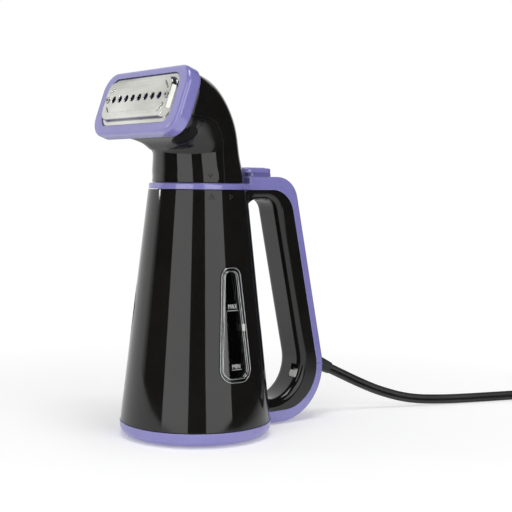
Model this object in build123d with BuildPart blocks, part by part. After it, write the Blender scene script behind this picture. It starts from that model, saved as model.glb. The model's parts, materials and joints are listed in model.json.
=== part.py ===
"""Handheld garment steamer: a conical water tank with a loop handle and a twist-on steam head.

The frame has +Z up and its origin on the floor at the centre of the base. The steam plate faces -X and the
handle stands at +X. All sizes are in millimetres.
"""

import math
import os

from build123d import *

os.makedirs("parts", exist_ok=True)

# Fits shared by all pieces
JOINT_GAP = 0.4  # groove left between two outer mouldings
RUN_GAP = 0.35  # clearance round a piece that moves
FIT_GAP = 0.1  # clearance of a fixed piece in its seat
TOUCH = 0.05  # an edge this near to a face counts as lying on it

# Base and feet
FOOT_PROUD = 1.2
FOOT_WIDTH = 5.0
FOOT_INSET = 3.7  # from the heads of the base screws to the foot ring
FOOT_RECESS = 1.0
BASE_LEDGE = 0.4  # how far the base stands out past the tank's foot
BASE_TOP = 10.0
BASE_WALL = 2.4
BASE_EDGE = 6.0
BASE_LIP = 3.0
LIP_WALL = 1.4
LIP_DRAFT = 0.15  # the tank's wall closes in by less than this per unit of height

# Tank
TANK_FOOT_RADIUS = 51.8
TANK_TOP_RADIUS = 33.8
TANK_TOP = 168.0
TANK_WALL = 2.6
FLOOR_BOTTOM = 24.0  # underside of the ledge that carries the boiler plate
FLOOR_THICK = 4.0
SCREW_CAP = 1.0  # solid left above a blind screw hole
PILLAR_INSET = 7.5  # from the outside of the tank's foot to the pillars' middles
PILLAR_RADIUS = 2.9
MOUTH_RADIUS = 27.6
MOUTH_DEPTH = 7.0
LUG_COUNT = 3
LUG_ANGLE = 24.0
LUG_REACH = 2.9
LUG_HEIGHT = 2.4
TWIST = 28.0  # turn of the head from locked to free
NOTCH_SPARE = 3.0  # degrees by which a notch is wider than a lug on each side

# Handle, as seen from the side
GRIP_HALF = 13.0
GRIP_LEAN = 12.4  # degrees from upright
GRIP_BACK = 92.5  # outermost face of the grip at the height GRIP_LEVEL
GRIP_LEVEL = 100.0
GRIP_DEPTH = 20.4
GRIP_WALL = 2.4
GRIP_ROUND = 5.4
HANDLE_RISE = 9.6  # top of the handle above the tank's rim
ARM_TOP_DEPTH = 15.6
ARM_FOOT_DEPTH = 16.8
STRIP_BACK = 6.8
TOP_BEND = 18.0
FOOT_BEND = 38.3
SEAM_TOP_BEND = 19.0
SEAM_FOOT_BEND = 29.8
FINGER_TOP_BEND = 10.0
FINGER_FOOT_BEND = 26.0
STRIP_EDGE = 2.4
SEAM_LEVEL = 41.5  # where the upper trim meets the base cover's strip
BLEND = 11.0  # hollow between tank and handle

# Collar ring and thumb button
RING_RADIUS = 33.5
RING_HEIGHT = 4.0
RING_EDGE = 1.2
BLOCK_FRONT = 34.8
BLOCK_END = 52.0
BUTTON_LENGTH = 26.4
BUTTON_WIDTH = 18.0
BUTTON_CAP = 3.4
BUTTON_TRAVEL = 2.4
BUTTON_FRONT = 32.7
BUTTON_ROUND = 7.0
BUTTON_EDGE = 1.2
RIDGE_COUNT = 5
RIDGE_PITCH = 3.2
RIDGE_WIDTH = 1.2
RIDGE_RISE = 0.4
STEM_FRONT = 38.2
STEM_LENGTH = 21.0
STEM_WIDTH = 14.6
STEM_ROUND = 4.0
FLANGE_WIDTH = 19.0
FLANGE_THICK = 1.5
PIN_RADIUS = 1.6
PIN_REACH = 0.6
SPRING_ROOM = 1.0
SPRING_WIRE = 1.0
SWITCH_HEIGHT = 5.0

# Steam head
NECK_FOOT_RADIUS = 31.8
NECK_RADIUS = 29.6
NECK_WALL = 2.4
NECK_STEP = 0.6  # how far the throat lies inside the hood
NECK_GAP = 0.5  # between the neck's foot and the ring
NECK_RISE = 18.4
NECK_LEAN = 2.0  # how far the neck's top stands in front of its foot
NECK_SECTIONS = 4
ELBOW_STEPS = 5
WIDTH_EASE = 1.5  # the hood widens late in the elbow
NEAR_ROUND = 0.98  # corner radius of the round sections as a share of their half width
CHIN_RADIUS = 11.9
CREASE_RADIUS = 22.0
CREASE_RISE = 23.6  # level part of the crease above the neck's top
HOOD_WIDTH = 100.2
HOOD_HEIGHT = 41.8
HOOD_CORNER = 15.5
PLATE_TILT = 18.9
PLATE_X = -46.6
PLATE_RISE = 34.7  # middle of the plate above the neck's top
PLATE_WIDTH = 86.0
PLATE_HEIGHT = 33.2
PLATE_CORNER = 8.0
PLATE_THICK = 1.0
PANEL_SIDE = 1.7  # rim of the plate beside its raised panel
PANEL_EDGE = 2.4  # rim of the plate above and below it
PANEL_RISE = 3.4
HOLE_COUNT = 10
ROW_END = 4.4  # from the panel's end to the last hole's middle
HOLE_RADIUS = 2.5
HOLE_RISE = 0.6  # the row lies this far above the plate's middle
RIB_WIDTH = 1.8
RIB_RISE = 0.5
PANEL_DRAFT = 20.0
BRACKET_HALF = 31.5
BRACKET_LEVEL = 9.6
BRACKET_DIAGONAL = 4.4
RECESS_GAP = 0.5
GASKET_THICK = 1.0
CHAMBER_DEPTH = 7.6
POST_RADIUS = 2.2
RIVET_HEAD = 2.4
RIVET_SHANK = 1.5
RIVET_RISE = 0.6
RIVET_BORE = 0.9
RIVET_LENGTH = 5.0
DUCT_RADIUS = 10.0
DUCT_WALL = 1.6
DUCT_RISE = -0.5  # height of the duct's mouth relative to the plate's middle
DUCT_INSERT = 1.5
DUCT_ROOM = 3.3  # between the splash disc and the duct's foot
DUCT_BEND = 16.0
COLLAR_THICK = 3.0
COLLAR_GAP = 1.0
COLLAR_WALL = 2.4
SEAL_HEIGHT = 2.65
BAFFLE_RISE = 1.5
BAFFLE_THICK = 2.0
BAFFLE_RING_RADIUS = 16.0
BAFFLE_SLOTS = 8
BAFFLE_SLOT = 9.0
BEZEL_WIDTH = 107.2
BEZEL_HEIGHT = 46.0
BEZEL_DROP = 0.7  # the bezel's middle lies this far below the plate's
BEZEL_DEPTH = 9.7
BEZEL_LIP = 0.8
BEZEL_CORNER = 14.0
BEZEL_EDGE = 2.6

# Water window
WINDOW_TOP = 117.2
WINDOW_FOOT = 42.0
WINDOW_TOP_HALF = 7.2
WINDOW_FOOT_HALF = 13.0
WINDOW_TOP_ROUND = 6.4
WINDOW_FOOT_ROUND = 9.0
WINDOW_RIM = 2.4
WINDOW_PROUD = 0.9
WINDOW_SINK = 0.9
SEAL_THICK = 1.2

# Boiler and fasteners
HEATER_GAP = 0.4  # between the boiler plate and the pillars
HEATER_THICK = 5.5
HEATER_SEAL = 1.5
SEAL_MARGIN = 1.0
HEATER_SCREW_INSET = 2.4
HEATER_SEAL_WIDTH = 3.6
HEATER_SCREW_RADIUS = 1.5
BASE_SCREW_RADIUS = 1.4
SCREW_HEAD = 2.6
SCREW_HEAD_HEIGHT = 1.3
SCREW_LENGTH = 8.0
ELEMENT_RING_RADIUS = 22.0
ELEMENT_RADIUS = 3.3
ELEMENT_LEVEL = 15.6
ELEMENT_GAP = 60.0  # degrees left open towards the handle
TAB_RADIUS = 1.6
TAB_THICK = 1.0
TAB_LENGTH = 5.0
THERMOSTAT_RADIUS = 8.5
THERMOSTAT_HEIGHT = 7.0
THERMOSTAT_STEP = 1.0
THERMOSTAT_FLANGE = 2.0
FUSE_RADIUS = 2.2
FUSE_WIRE = 0.6
FUSE_LENGTH = 11.0
FUSE_SIDE = 13.5
TERMINAL_X = 33.0
TERMINAL_LENGTH = 12.0
TERMINAL_WIDTH = 16.0
TERMINAL_HEIGHT = 7.0
TERMINAL_SCREW = 2.0
BLOCK_ROUND = 1.0  # corner radius of the small electric blocks

# Slide switch in the grip
SWITCH_LEVEL = 36.5
SWITCH_SIDE = -6.0
SWITCH_WIDTH = 7.6
SWITCH_LENGTH = 10.0
SWITCH_TRAVEL = 4.2
KNOB_LENGTH = 5.0
KNOB_PROUD = 0.5
SLIDER_WIDTH = 8.2
SLIDER_LENGTH = 8.0
SLIDER_FLANGE = 1.2
SWITCH_CHEEK = 1.0
SWITCH_DEPTH = 4.5

# Flat twin lead
CORD_WIDTH = 7.4
CORD_THICK = 3.8
OUTLET_X = 121.0
OUTLET_Z = 34.2
OUTLET_WIDTH = 6.4
OUTLET_HEIGHT = 8.6
OUTLET_ROUND = 1.8
RELIEF_FLARE = 18.0
RELIEF_ROOT = 5.0
RELIEF_WIDTH = 9.0
RELIEF_HEIGHT = 10.6
RELIEF_LENGTH = 28.6
RELIEF_STOP = 25.2
RELIEF_RIM = 2.0
WIRE_RADIUS = 1.3
WIRE_START = 2.9
WIRE_SPACE = 3.6
WIRE_SIDE = 4.2
WIRE_BACK = 91.5
WIRE_TURN_X = 72.0
WIRE_TURN_Z = 18.0
WIRE_LEVEL = 7.2
WIRE_LEADIN = 5.6
WIRE_BEND = 3.0
BEND_SHARE = 0.45
COIL_PITCH = 4.6  # spacing of neighbouring turns
COIL_LAYER = 8.0  # spacing of the two layers
COIL_RADIUS = 47.4
COIL_TURNS = 6  # whole turns, besides the part of a turn that brings the end to face +Y
COIL_NODES = 26
COIL_LIFT = 1.2  # room for the tie under the coil
GAP_STEP = 2.0  # spacing of the points on which the coil's clearance is measured
TAIL_LENGTH = 24.0  # straight end between the coil and the plug
TIE_ANGLE = 130.0
TIE_THICK = 1.0
TIE_WIDTH = 8.0
TIE_ROOM = 0.1
PLUG_WIDTH = 15.0
PLUG_HEIGHT = 25.6
PLUG_ROUND = 5.0
PLUG_LENGTH = 20.0
BOOT_WIDTH = 7.0
BOOT_HEIGHT = 11.0
BOOT_LENGTH = 14.0
BLADE_WIDTH = 6.4
BLADE_THICK = 1.5
BLADE_SPACE = 12.7
BLADE_LENGTH = 16.0
BLADE_ROOT = 6.0
CLIMB_SHARE = 0.75  # steepest climb between the layers, as a share of layer spacing per step

BASE_FLOOR = FOOT_PROUD + BASE_WALL
TANK_FOOT = BASE_TOP + JOINT_GAP
RING_FOOT = TANK_TOP + JOINT_GAP
RING_TOP = RING_FOOT + RING_HEIGHT
HANDLE_TOP = TANK_TOP + HANDLE_RISE
LEAN = math.tan(math.radians(GRIP_LEAN))
STRIP_FOOT = TANK_FOOT - FOOT_PROUD
LEDGE_FOOT = TANK_TOP - MOUTH_DEPTH
SKIRT_RADIUS = MOUTH_RADIUS - RUN_GAP
LUG_RADIUS = SKIRT_RADIUS + LUG_REACH
RING_BORE = LUG_RADIUS + 2 * RUN_GAP
SEAL_RADIUS = RING_BORE - RUN_GAP
SEAL_FOOT = TANK_TOP + RUN_GAP
SEAL_TOP = SEAL_FOOT + SEAL_HEIGHT
LIP_RADIUS = TANK_FOOT_RADIUS - TANK_WALL - BASE_LIP * LIP_DRAFT - FIT_GAP
HEATER_TOP = FLOOR_BOTTOM - HEATER_SEAL
HEATER_FOOT = HEATER_TOP - HEATER_THICK
BASE_RADIUS = TANK_FOOT_RADIUS + BASE_LEDGE
PILLAR_RING_RADIUS = TANK_FOOT_RADIUS - PILLAR_INSET
HEATER_RADIUS = PILLAR_RING_RADIUS - PILLAR_RADIUS - HEATER_GAP
HEATER_SCREW_RING_RADIUS = HEATER_RADIUS - HEATER_SCREW_INSET
HEATER_SEAL_OUTER = HEATER_SCREW_RING_RADIUS - HEATER_SCREW_RADIUS - SEAL_MARGIN
FLOOR_HOLE = HEATER_SEAL_OUTER - HEATER_SEAL_WIDTH
FOOT_OUTER = PILLAR_RING_RADIUS - SCREW_HEAD - FOOT_INSET
FOOT_INNER = FOOT_OUTER - FOOT_WIDTH
PANEL_WIDTH = PLATE_WIDTH - 2 * PANEL_SIDE
PANEL_HEIGHT = PLATE_HEIGHT - 2 * PANEL_EDGE
HOLE_PITCH = (PANEL_WIDTH - 2 * ROW_END) / (HOLE_COUNT - 1)

# Face of the grip that carries the slide switch: a tangent plane on the lower bend of the finger side
FINGER_FOOT = FOOT_PROUD + ARM_FOOT_DEPTH
FINGER_SLANT = GRIP_DEPTH / math.cos(math.radians(GRIP_LEAN))
FINGER_CORNER = GRIP_BACK - FINGER_SLANT - (FINGER_FOOT - GRIP_LEVEL) * LEAN
BEND_X = FINGER_CORNER - FINGER_FOOT_BEND * math.tan(math.radians(45 + GRIP_LEAN / 2))
BEND_Z = FINGER_FOOT + FINGER_FOOT_BEND
SWITCH_ANGLE = math.asin((SWITCH_LEVEL - BEND_Z) / FINGER_FOOT_BEND)
SWITCH_FACE = Plane(
    origin=(BEND_X + FINGER_FOOT_BEND * math.cos(SWITCH_ANGLE), SWITCH_SIDE, SWITCH_LEVEL),
    x_dir=(0, -1, 0),
    z_dir=(-math.cos(SWITCH_ANGLE), 0, -math.sin(SWITCH_ANGLE)),
)

NECK_FOOT = RING_TOP + NECK_GAP
NECK_TOP = NECK_FOOT + NECK_RISE
CHIN_X = -NECK_LEAN - NECK_RADIUS - CHIN_RADIUS
CREASE_TOP = NECK_TOP + CREASE_RISE
PLATE_Z = NECK_TOP + PLATE_RISE
COLLAR_FOOT = NECK_FOOT - FIT_GAP
COLLAR_RADIUS = NECK_FOOT_RADIUS - NECK_WALL - COLLAR_GAP
RIVET_X = (HOLE_COUNT - 1) / 2 * HOLE_PITCH
RECESS_WIDTH = PLATE_WIDTH + 2 * RECESS_GAP
RECESS_HEIGHT = PLATE_HEIGHT + 2 * RECESS_GAP
DRAFT = math.radians(PANEL_DRAFT)
PRESS_INSET = PLATE_THICK * (1 / math.cos(DRAFT) - math.tan(DRAFT))
PRESS_WIDTH = PANEL_WIDTH - 2 * PRESS_INSET
PRESS_HEIGHT = PANEL_HEIGHT - 2 * PRESS_INSET
PLATE_PLANE = Plane(
    origin=(PLATE_X, 0, PLATE_Z),
    x_dir=(0, -1, 0),
    z_dir=(-math.cos(math.radians(PLATE_TILT)), 0, math.sin(math.radians(PLATE_TILT))),
)
SKIRT_FOOT = LEDGE_FOOT - RUN_GAP - LUG_HEIGHT
DUCT_FOOT = SKIRT_FOOT + BAFFLE_RISE + BAFFLE_THICK + DUCT_ROOM
DUCT_END = PLATE_PLANE.from_local_coords(Vector(0, DUCT_RISE, -BEZEL_DEPTH + DUCT_INSERT))
DUCT_CORNER = DUCT_END - PLATE_PLANE.z_dir * (DUCT_END.X / PLATE_PLANE.z_dir.X)
STEM_X = STEM_FRONT + STEM_LENGTH / 2
CAP_FOOT = HANDLE_TOP + BUTTON_TRAVEL + FIT_GAP
FLANGE_TOP = HANDLE_TOP - GRIP_WALL - FIT_GAP
ARM_FLOOR = HANDLE_TOP - ARM_TOP_DEPTH + GRIP_WALL
SWITCH_TOP = ARM_FLOOR + SWITCH_HEIGHT

# Route of the lead's free stretch over the floor, and the plane in which it leaves the handle
LEAD_POINTS = [
    Vector(OUTLET_X, 0, OUTLET_Z),
    Vector(133, -1.2, 28.6),
    Vector(148, -4.6, 21.2),
    Vector(166, -10, 13.2),
    Vector(190, -17.5, 6.0),
    Vector(218, -27, 4.1),
    Vector(250, -38, 4.2),
    Vector(285, -49.5, 4.5),
    Vector(325, -63, 4.9),
    Vector(367, -76.6, 4.9),
]
LEAD_OUT = (LEAD_POINTS[1] - LEAD_POINTS[0]).normalized()
LEAD_WAY = LEAD_POINTS[-1] - LEAD_POINTS[-2]
LEAD_END = Vector(LEAD_WAY.X, LEAD_WAY.Y, 0).normalized()
OUTLET = Plane(origin=LEAD_POINTS[0], x_dir=(0, 1, 0), z_dir=LEAD_OUT * -1)
COIL_HEADING = math.atan2(LEAD_END.Y, LEAD_END.X)
COIL_START = COIL_HEADING - math.pi / 2
COIL_ANGLE = 2 * math.pi * COIL_TURNS - COIL_START
COIL_CENTRE = LEAD_POINTS[-1] + LEAD_END * CORD_WIDTH + LEAD_END.rotate(Axis.Z, 90) * COIL_RADIUS
COIL_STEP = COIL_ANGLE / COIL_NODES
COIL_RATE = COIL_PITCH / (2 * math.pi)
COIL_INNER = COIL_RADIUS - COIL_RATE * COIL_STEP * (COIL_NODES / 2 - 1)
TIE_SPAN = COIL_RADIUS - COIL_INNER + COIL_PITCH + CORD_THICK
TIE_MIDDLE = (COIL_RADIUS + COIL_INNER) / 2
TIE_RISE = COIL_LAYER + CORD_WIDTH + 2 * TIE_ROOM
TIE_PLANE = Plane(
    origin=(COIL_CENTRE.X, COIL_CENTRE.Y, 0),
    x_dir=(math.cos(math.radians(TIE_ANGLE)), math.sin(math.radians(TIE_ANGLE)), 0),
    z_dir=(math.sin(math.radians(TIE_ANGLE)), -math.cos(math.radians(TIE_ANGLE)), 0),
)
PLUG_PLANE = Plane(
    origin=COIL_CENTRE + Vector(COIL_RADIUS, TAIL_LENGTH, COIL_LAYER),
    x_dir=(-1, 0, 0),
    z_dir=(0, 1, 0),
)
CUT_BOX = (4 * BASE_RADIUS + 2 * GRIP_BACK, 4 * BASE_RADIUS)


def save(piece, label):
    """Names a finished piece and writes its file."""
    piece.part.label = label
    export_step(piece.part, f"parts/{label}.step")


def tank_radius(z):
    """Outer radius of the tank's cone at a height."""
    share = (z - TANK_FOOT) / (TANK_TOP - TANK_FOOT)
    return TANK_FOOT_RADIUS + (TANK_TOP_RADIUS - TANK_FOOT_RADIUS) * share


def handle_line(start, top, back, foot, top_bend, foot_bend):
    """Side view of the handle, from the top arm round the grip to the foot arm, inset from its outer face."""
    upper = HANDLE_TOP - top
    lower = FOOT_PROUD + foot
    slant = back / math.cos(math.radians(GRIP_LEAN))
    top_x = GRIP_BACK - slant - (upper - GRIP_LEVEL) * LEAN
    foot_x = GRIP_BACK - slant - (lower - GRIP_LEVEL) * LEAN
    corners = [(start, upper), (top_x, upper), (foot_x, lower), (start, lower)]
    return FilletPolyline(*corners, radius=[top_bend, foot_bend])


def outer_line(start, inset=0.0):
    """Outer face of the handle, or a line that far inside it."""
    return handle_line(start, inset, inset, inset, TOP_BEND - inset, FOOT_BEND - inset)


def seam_line(start, inset=0.0):
    """Joint between the black grip and its coloured strip."""
    top = HANDLE_TOP - TANK_TOP + inset
    return handle_line(start, top, STRIP_BACK + inset, STRIP_FOOT + inset, SEAM_TOP_BEND, SEAM_FOOT_BEND)


def finger_line(start, inset=0.0):
    """Finger side of the grip, or a line that far towards the back of it."""
    return handle_line(
        start,
        ARM_TOP_DEPTH - inset,
        GRIP_DEPTH - inset,
        ARM_FOOT_DEPTH - inset,
        FINGER_TOP_BEND + inset,
        FINGER_FOOT_BEND + inset,
    )


# Room inside the grip for leads and switches, open towards the strip and outside the tank
with BuildPart() as grip_room:
    with BuildSketch(Plane.XZ):
        with BuildLine():
            back = seam_line(0)
            front = finger_line(0, GRIP_WALL)
            Line(back @ 0, front @ 0)
            Line(back @ 1, front @ 1)
        make_face()
    extrude(amount=GRIP_HALF - GRIP_WALL, both=True)
    with BuildSketch(Plane.XZ):
        with BuildLine():
            Polyline(
                (0, 0),
                (tank_radius(0) + GRIP_WALL, 0),
                (tank_radius(HANDLE_TOP) + GRIP_WALL, HANDLE_TOP),
                (0, HANDLE_TOP),
                close=True,
            )
        make_face()
    revolve(axis=Axis.Z, mode=Mode.SUBTRACT)


def window_prism(grow):
    """Solid from the tank's axis out through its wall, in the window's outline grown by a margin."""
    with BuildPart(mode=Mode.PRIVATE) as prism:
        with BuildSketch(Plane.XZ):
            with BuildLine():
                Polyline(
                    (-WINDOW_FOOT_HALF - grow, WINDOW_FOOT - grow),
                    (WINDOW_FOOT_HALF + grow, WINDOW_FOOT - grow),
                    (WINDOW_TOP_HALF + grow, WINDOW_TOP + grow),
                    (-WINDOW_TOP_HALF - grow, WINDOW_TOP + grow),
                    close=True,
                )
            make_face()
            fillet(vertices().group_by(Axis.Y)[-1], WINDOW_TOP_ROUND + grow)
            fillet(vertices().group_by(Axis.Y)[0], WINDOW_FOOT_ROUND + grow)
        extrude(amount=2 * BASE_RADIUS)
    return prism.part


def cone_shell(inner, outer):
    """Wall that follows the tank's cone, between two distances from its outer face."""
    with BuildPart(mode=Mode.PRIVATE) as shell:
        with BuildSketch(Plane.XZ):
            with BuildLine():
                Polyline(
                    (tank_radius(TANK_FOOT) + inner, TANK_FOOT),
                    (tank_radius(TANK_FOOT) + outer, TANK_FOOT),
                    (tank_radius(TANK_TOP) + outer, TANK_TOP),
                    (tank_radius(TANK_TOP) + inner, TANK_TOP),
                    close=True,
                )
            make_face()
        revolve(axis=Axis.Z)
    return shell.part


def sector(radius, middle, angle):
    """Pie slice of a disc about the tank's axis, in degrees."""
    with BuildSketch(mode=Mode.PRIVATE) as slice_of_disc:
        with BuildLine():
            arc = CenterArc((0, 0), radius, middle - angle / 2, angle)
            Line((0, 0), arc @ 0)
            Line(arc @ 1, (0, 0))
        make_face()
    return slice_of_disc.sketch


def is_junction(edge):
    """True for an edge where the handle's outside meets the tank's cone."""
    spots = [edge @ 0.25, edge @ 0.5, edge @ 0.75]
    on_cone = all(abs(math.hypot(p.X, p.Y) - tank_radius(p.Z)) < TOUCH for p in spots)
    inside = all(TANK_FOOT + FIT_GAP < p.Z < TANK_TOP - FIT_GAP for p in spots)
    return on_cone and inside and spots[1].X > 0


# Tank and grip, one moulding
with BuildPart() as tank_body:
    with BuildSketch(Plane.XZ):
        with BuildLine():
            seam = seam_line(0)
            finger = finger_line(0)
            Line(seam @ 0, finger @ 0)
            Line(seam @ 1, finger @ 1)
        make_face()
    extrude(amount=GRIP_HALF, both=True)
    finger_edges = [
        e
        for e in tank_body.edges()
        if abs(abs((e @ 0.5).Y) - GRIP_HALF) < TOUCH
        and finger.distance_to(Vertex((e @ 0.5).X, (e @ 0.5).Z, 0)) < TOUCH
    ]
    fillet(finger_edges, GRIP_ROUND)
    with BuildSketch(Plane.XZ):
        with BuildLine():
            Polyline(
                (0, TANK_FOOT),
                (TANK_FOOT_RADIUS, TANK_FOOT),
                (TANK_TOP_RADIUS, TANK_TOP),
                (0, TANK_TOP),
                close=True,
            )
        make_face()
    revolve(axis=Axis.Z)
    fillet(tank_body.edges().filter_by(is_junction), BLEND)
    add(grip_room.part, mode=Mode.SUBTRACT)
    with BuildSketch(Plane.XZ):
        with BuildLine():
            Polyline(
                (0, TANK_FOOT),
                (tank_radius(TANK_FOOT) - TANK_WALL, TANK_FOOT),
                (tank_radius(FLOOR_BOTTOM) - TANK_WALL, FLOOR_BOTTOM),
                (FLOOR_HOLE, FLOOR_BOTTOM),
                (FLOOR_HOLE, FLOOR_BOTTOM + FLOOR_THICK),
                (tank_radius(FLOOR_BOTTOM + FLOOR_THICK) - TANK_WALL, FLOOR_BOTTOM + FLOOR_THICK),
                (tank_radius(LEDGE_FOOT) - TANK_WALL, LEDGE_FOOT),
                (MOUTH_RADIUS, LEDGE_FOOT),
                (MOUTH_RADIUS, TANK_TOP),
                (0, TANK_TOP),
                close=True,
            )
        make_face()
    revolve(axis=Axis.Z, mode=Mode.SUBTRACT)
    # Notches through which the head's lugs pass once it is turned
    with BuildSketch(Plane.XY.offset(LEDGE_FOOT)):
        for i in range(LUG_COUNT):
            add(sector(LUG_RADIUS + RUN_GAP, TWIST + i * 360 / LUG_COUNT, LUG_ANGLE + 2 * NOTCH_SPARE))
    extrude(amount=MOUTH_DEPTH, mode=Mode.SUBTRACT)
    # Pillars that the base cover is screwed to
    with BuildSketch(Plane.XY.offset(BASE_FLOOR)):
        with PolarLocations(PILLAR_RING_RADIUS, 4, start_angle=45):
            Circle(PILLAR_RADIUS)
    extrude(amount=FLOOR_BOTTOM - BASE_FLOOR)
    with BuildSketch(Plane.XY.offset(BASE_FLOOR)):
        with PolarLocations(PILLAR_RING_RADIUS, 4, start_angle=45):
            Circle(BASE_SCREW_RADIUS + FIT_GAP)
    extrude(amount=SCREW_LENGTH, mode=Mode.SUBTRACT)
    with BuildSketch(Plane.XY.offset(FLOOR_BOTTOM)):
        with PolarLocations(HEATER_SCREW_RING_RADIUS, 4):
            Circle(HEATER_SCREW_RADIUS + FIT_GAP)
    extrude(amount=FLOOR_THICK - SCREW_CAP, mode=Mode.SUBTRACT)
    add(window_prism(0), mode=Mode.SUBTRACT)
    with BuildSketch(SWITCH_FACE):
        Rectangle(SWITCH_WIDTH, SWITCH_LENGTH)
    extrude(amount=GRIP_DEPTH / 2, both=True, mode=Mode.SUBTRACT)
save(tank_body, "tank_body")


# Clear window with a raised rim round a sunken pane
with BuildPart() as pane_room:
    add(cone_shell(-WINDOW_SINK, 2 * WINDOW_PROUD))
    add(window_prism(-WINDOW_RIM), mode=Mode.INTERSECT)

with BuildPart() as water_window:
    add(cone_shell(-TANK_WALL, WINDOW_PROUD))
    add(window_prism(-FIT_GAP), mode=Mode.INTERSECT)
    add(pane_room.part, mode=Mode.SUBTRACT)
save(water_window, "water_window")

# Soft ring behind the window, against the inside of the tank's wall
with BuildPart() as window_seal:
    add(cone_shell(-TANK_WALL - FIT_GAP - SEAL_THICK, -TANK_WALL - FIT_GAP))
    add(window_prism(WINDOW_RIM), mode=Mode.INTERSECT)
    add(window_prism(-WINDOW_RIM), mode=Mode.SUBTRACT)
save(window_seal, "window_seal")


def strip_block(low, high):
    """Coloured strip of the handle between two heights, solid, with its outer edges rounded."""
    with BuildPart(mode=Mode.PRIVATE) as block:
        with BuildSketch(Plane.XZ):
            with BuildLine():
                skin = outer_line(0)
                seam = seam_line(0, -JOINT_GAP)
                Line(skin @ 0, seam @ 0)
                Line(skin @ 1, seam @ 1)
            make_face()
        extrude(amount=GRIP_HALF, both=True)
        skin_edges = [
            e
            for e in block.edges()
            if abs(abs((e @ 0.5).Y) - GRIP_HALF) < TOUCH
            and skin.distance_to(Vertex((e @ 0.5).X, (e @ 0.5).Z, 0)) < TOUCH
        ]
        fillet(skin_edges, STRIP_EDGE)
        with Locations((0, 0, low)):
            Box(*CUT_BOX, high - low, align=(Align.CENTER, Align.CENTER, Align.MIN), mode=Mode.INTERSECT)
    return block.part


def strip_channel(start=0.0):
    """Room inside the strip from a distance behind the tank's axis, open towards the grip."""
    with BuildPart(mode=Mode.PRIVATE) as channel:
        with BuildSketch(Plane.XZ):
            with BuildLine():
                skin = outer_line(start, GRIP_WALL)
                seam = seam_line(start, JOINT_GAP)
                Line(skin @ 0, seam @ 0)
                Line(skin @ 1, seam @ 1)
            make_face()
        extrude(amount=GRIP_HALF - GRIP_WALL, both=True)
    return channel.part


def disc_body(low, *steps):
    """Turned solid built upwards from a height, each step a radius and a thickness."""
    with BuildPart(mode=Mode.PRIVATE) as turned:
        level = low
        for radius, thick in steps:
            with BuildSketch(Plane.XY.offset(level)):
                Circle(radius)
            extrude(amount=thick)
            level += thick
    return turned.part


# Base cover with the lower part of the handle's strip
with BuildPart() as base_cover:
    with BuildSketch(Plane.XY.offset(FOOT_PROUD)):
        Circle(BASE_RADIUS)
    extrude(amount=BASE_TOP - FOOT_PROUD)
    fillet(base_cover.edges().group_by(Axis.Z)[0], BASE_EDGE)
    add(strip_block(0, SEAM_LEVEL - JOINT_GAP / 2))
    add(disc_body(BASE_TOP, (LIP_RADIUS, BASE_LIP)))
    add(strip_channel(), mode=Mode.SUBTRACT)
    with BuildSketch(Plane.XY.offset(BASE_FLOOR)):
        Circle(LIP_RADIUS - LIP_WALL)
    extrude(amount=BASE_TOP, mode=Mode.SUBTRACT)
    with BuildSketch(Plane.XY.offset(FOOT_PROUD)):
        Circle(FOOT_OUTER + FIT_GAP)
        Circle(FOOT_INNER - FIT_GAP, mode=Mode.SUBTRACT)
        with PolarLocations(PILLAR_RING_RADIUS, 4, start_angle=45):
            Circle(SCREW_HEAD + FIT_GAP)
    extrude(amount=FOOT_RECESS, mode=Mode.SUBTRACT)
    with BuildSketch(Plane.XY.offset(FOOT_PROUD)):
        with PolarLocations(PILLAR_RING_RADIUS, 4, start_angle=45):
            Circle(BASE_SCREW_RADIUS + FIT_GAP)
    extrude(amount=BASE_WALL, mode=Mode.SUBTRACT)
    with BuildSketch(OUTLET):
        RectangleRounded(OUTLET_WIDTH, OUTLET_HEIGHT, OUTLET_ROUND)
    extrude(amount=RELIEF_LENGTH, mode=Mode.SUBTRACT)
save(base_cover, "base_cover")

# Part of the trim that stands above the ring and runs down the handle's back
with BuildPart() as upper_strip:
    add(strip_block(SEAM_LEVEL + JOINT_GAP / 2, HANDLE_TOP))
    with Locations((0, 0, HANDLE_TOP)):
        Box(2 * BLOCK_FRONT, 2 * BASE_RADIUS, HANDLE_TOP, mode=Mode.SUBTRACT)
    block_face = upper_strip.faces().filter_by(Axis.X).sort_by(Axis.X)[0]
    fillet(block_face.edges().filter_by_position(Axis.Z, RING_TOP, HANDLE_TOP), RING_EDGE)

# Collar ring, button block and the strip down the handle's back, one moulding
with BuildPart() as top_trim:
    with BuildSketch(Plane.XY.offset(RING_FOOT)):
        Circle(RING_RADIUS)
        with Locations((BLOCK_END / 2, 0)):
            Rectangle(BLOCK_END, 2 * GRIP_HALF)
        fillet([v for v in vertices() if 0 < v.X < RING_RADIUS], BLEND)
    extrude(amount=RING_HEIGHT)
    fillet(top_trim.faces().sort_by(Axis.Z)[-1].outer_wire().edges(), RING_EDGE)
    add(upper_strip.part)
    with BuildSketch(Plane.XY.offset(RING_FOOT)):
        Circle(RING_BORE)
    extrude(amount=RING_HEIGHT, mode=Mode.SUBTRACT)
    add(strip_channel(BLOCK_FRONT + GRIP_WALL), mode=Mode.SUBTRACT)
    with BuildSketch(Plane.XY.offset(RING_TOP)):
        with Locations((STEM_X, 0)):
            RectangleRounded(STEM_LENGTH + 2 * RUN_GAP, STEM_WIDTH + 2 * RUN_GAP, STEM_ROUND + RUN_GAP)
    extrude(amount=HANDLE_TOP, mode=Mode.SUBTRACT)
    with BuildSketch(OUTLET):
        RectangleRounded(OUTLET_WIDTH, OUTLET_HEIGHT, OUTLET_ROUND)
    extrude(amount=RELIEF_LENGTH, mode=Mode.SUBTRACT)
save(top_trim, "top_trim")

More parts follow.
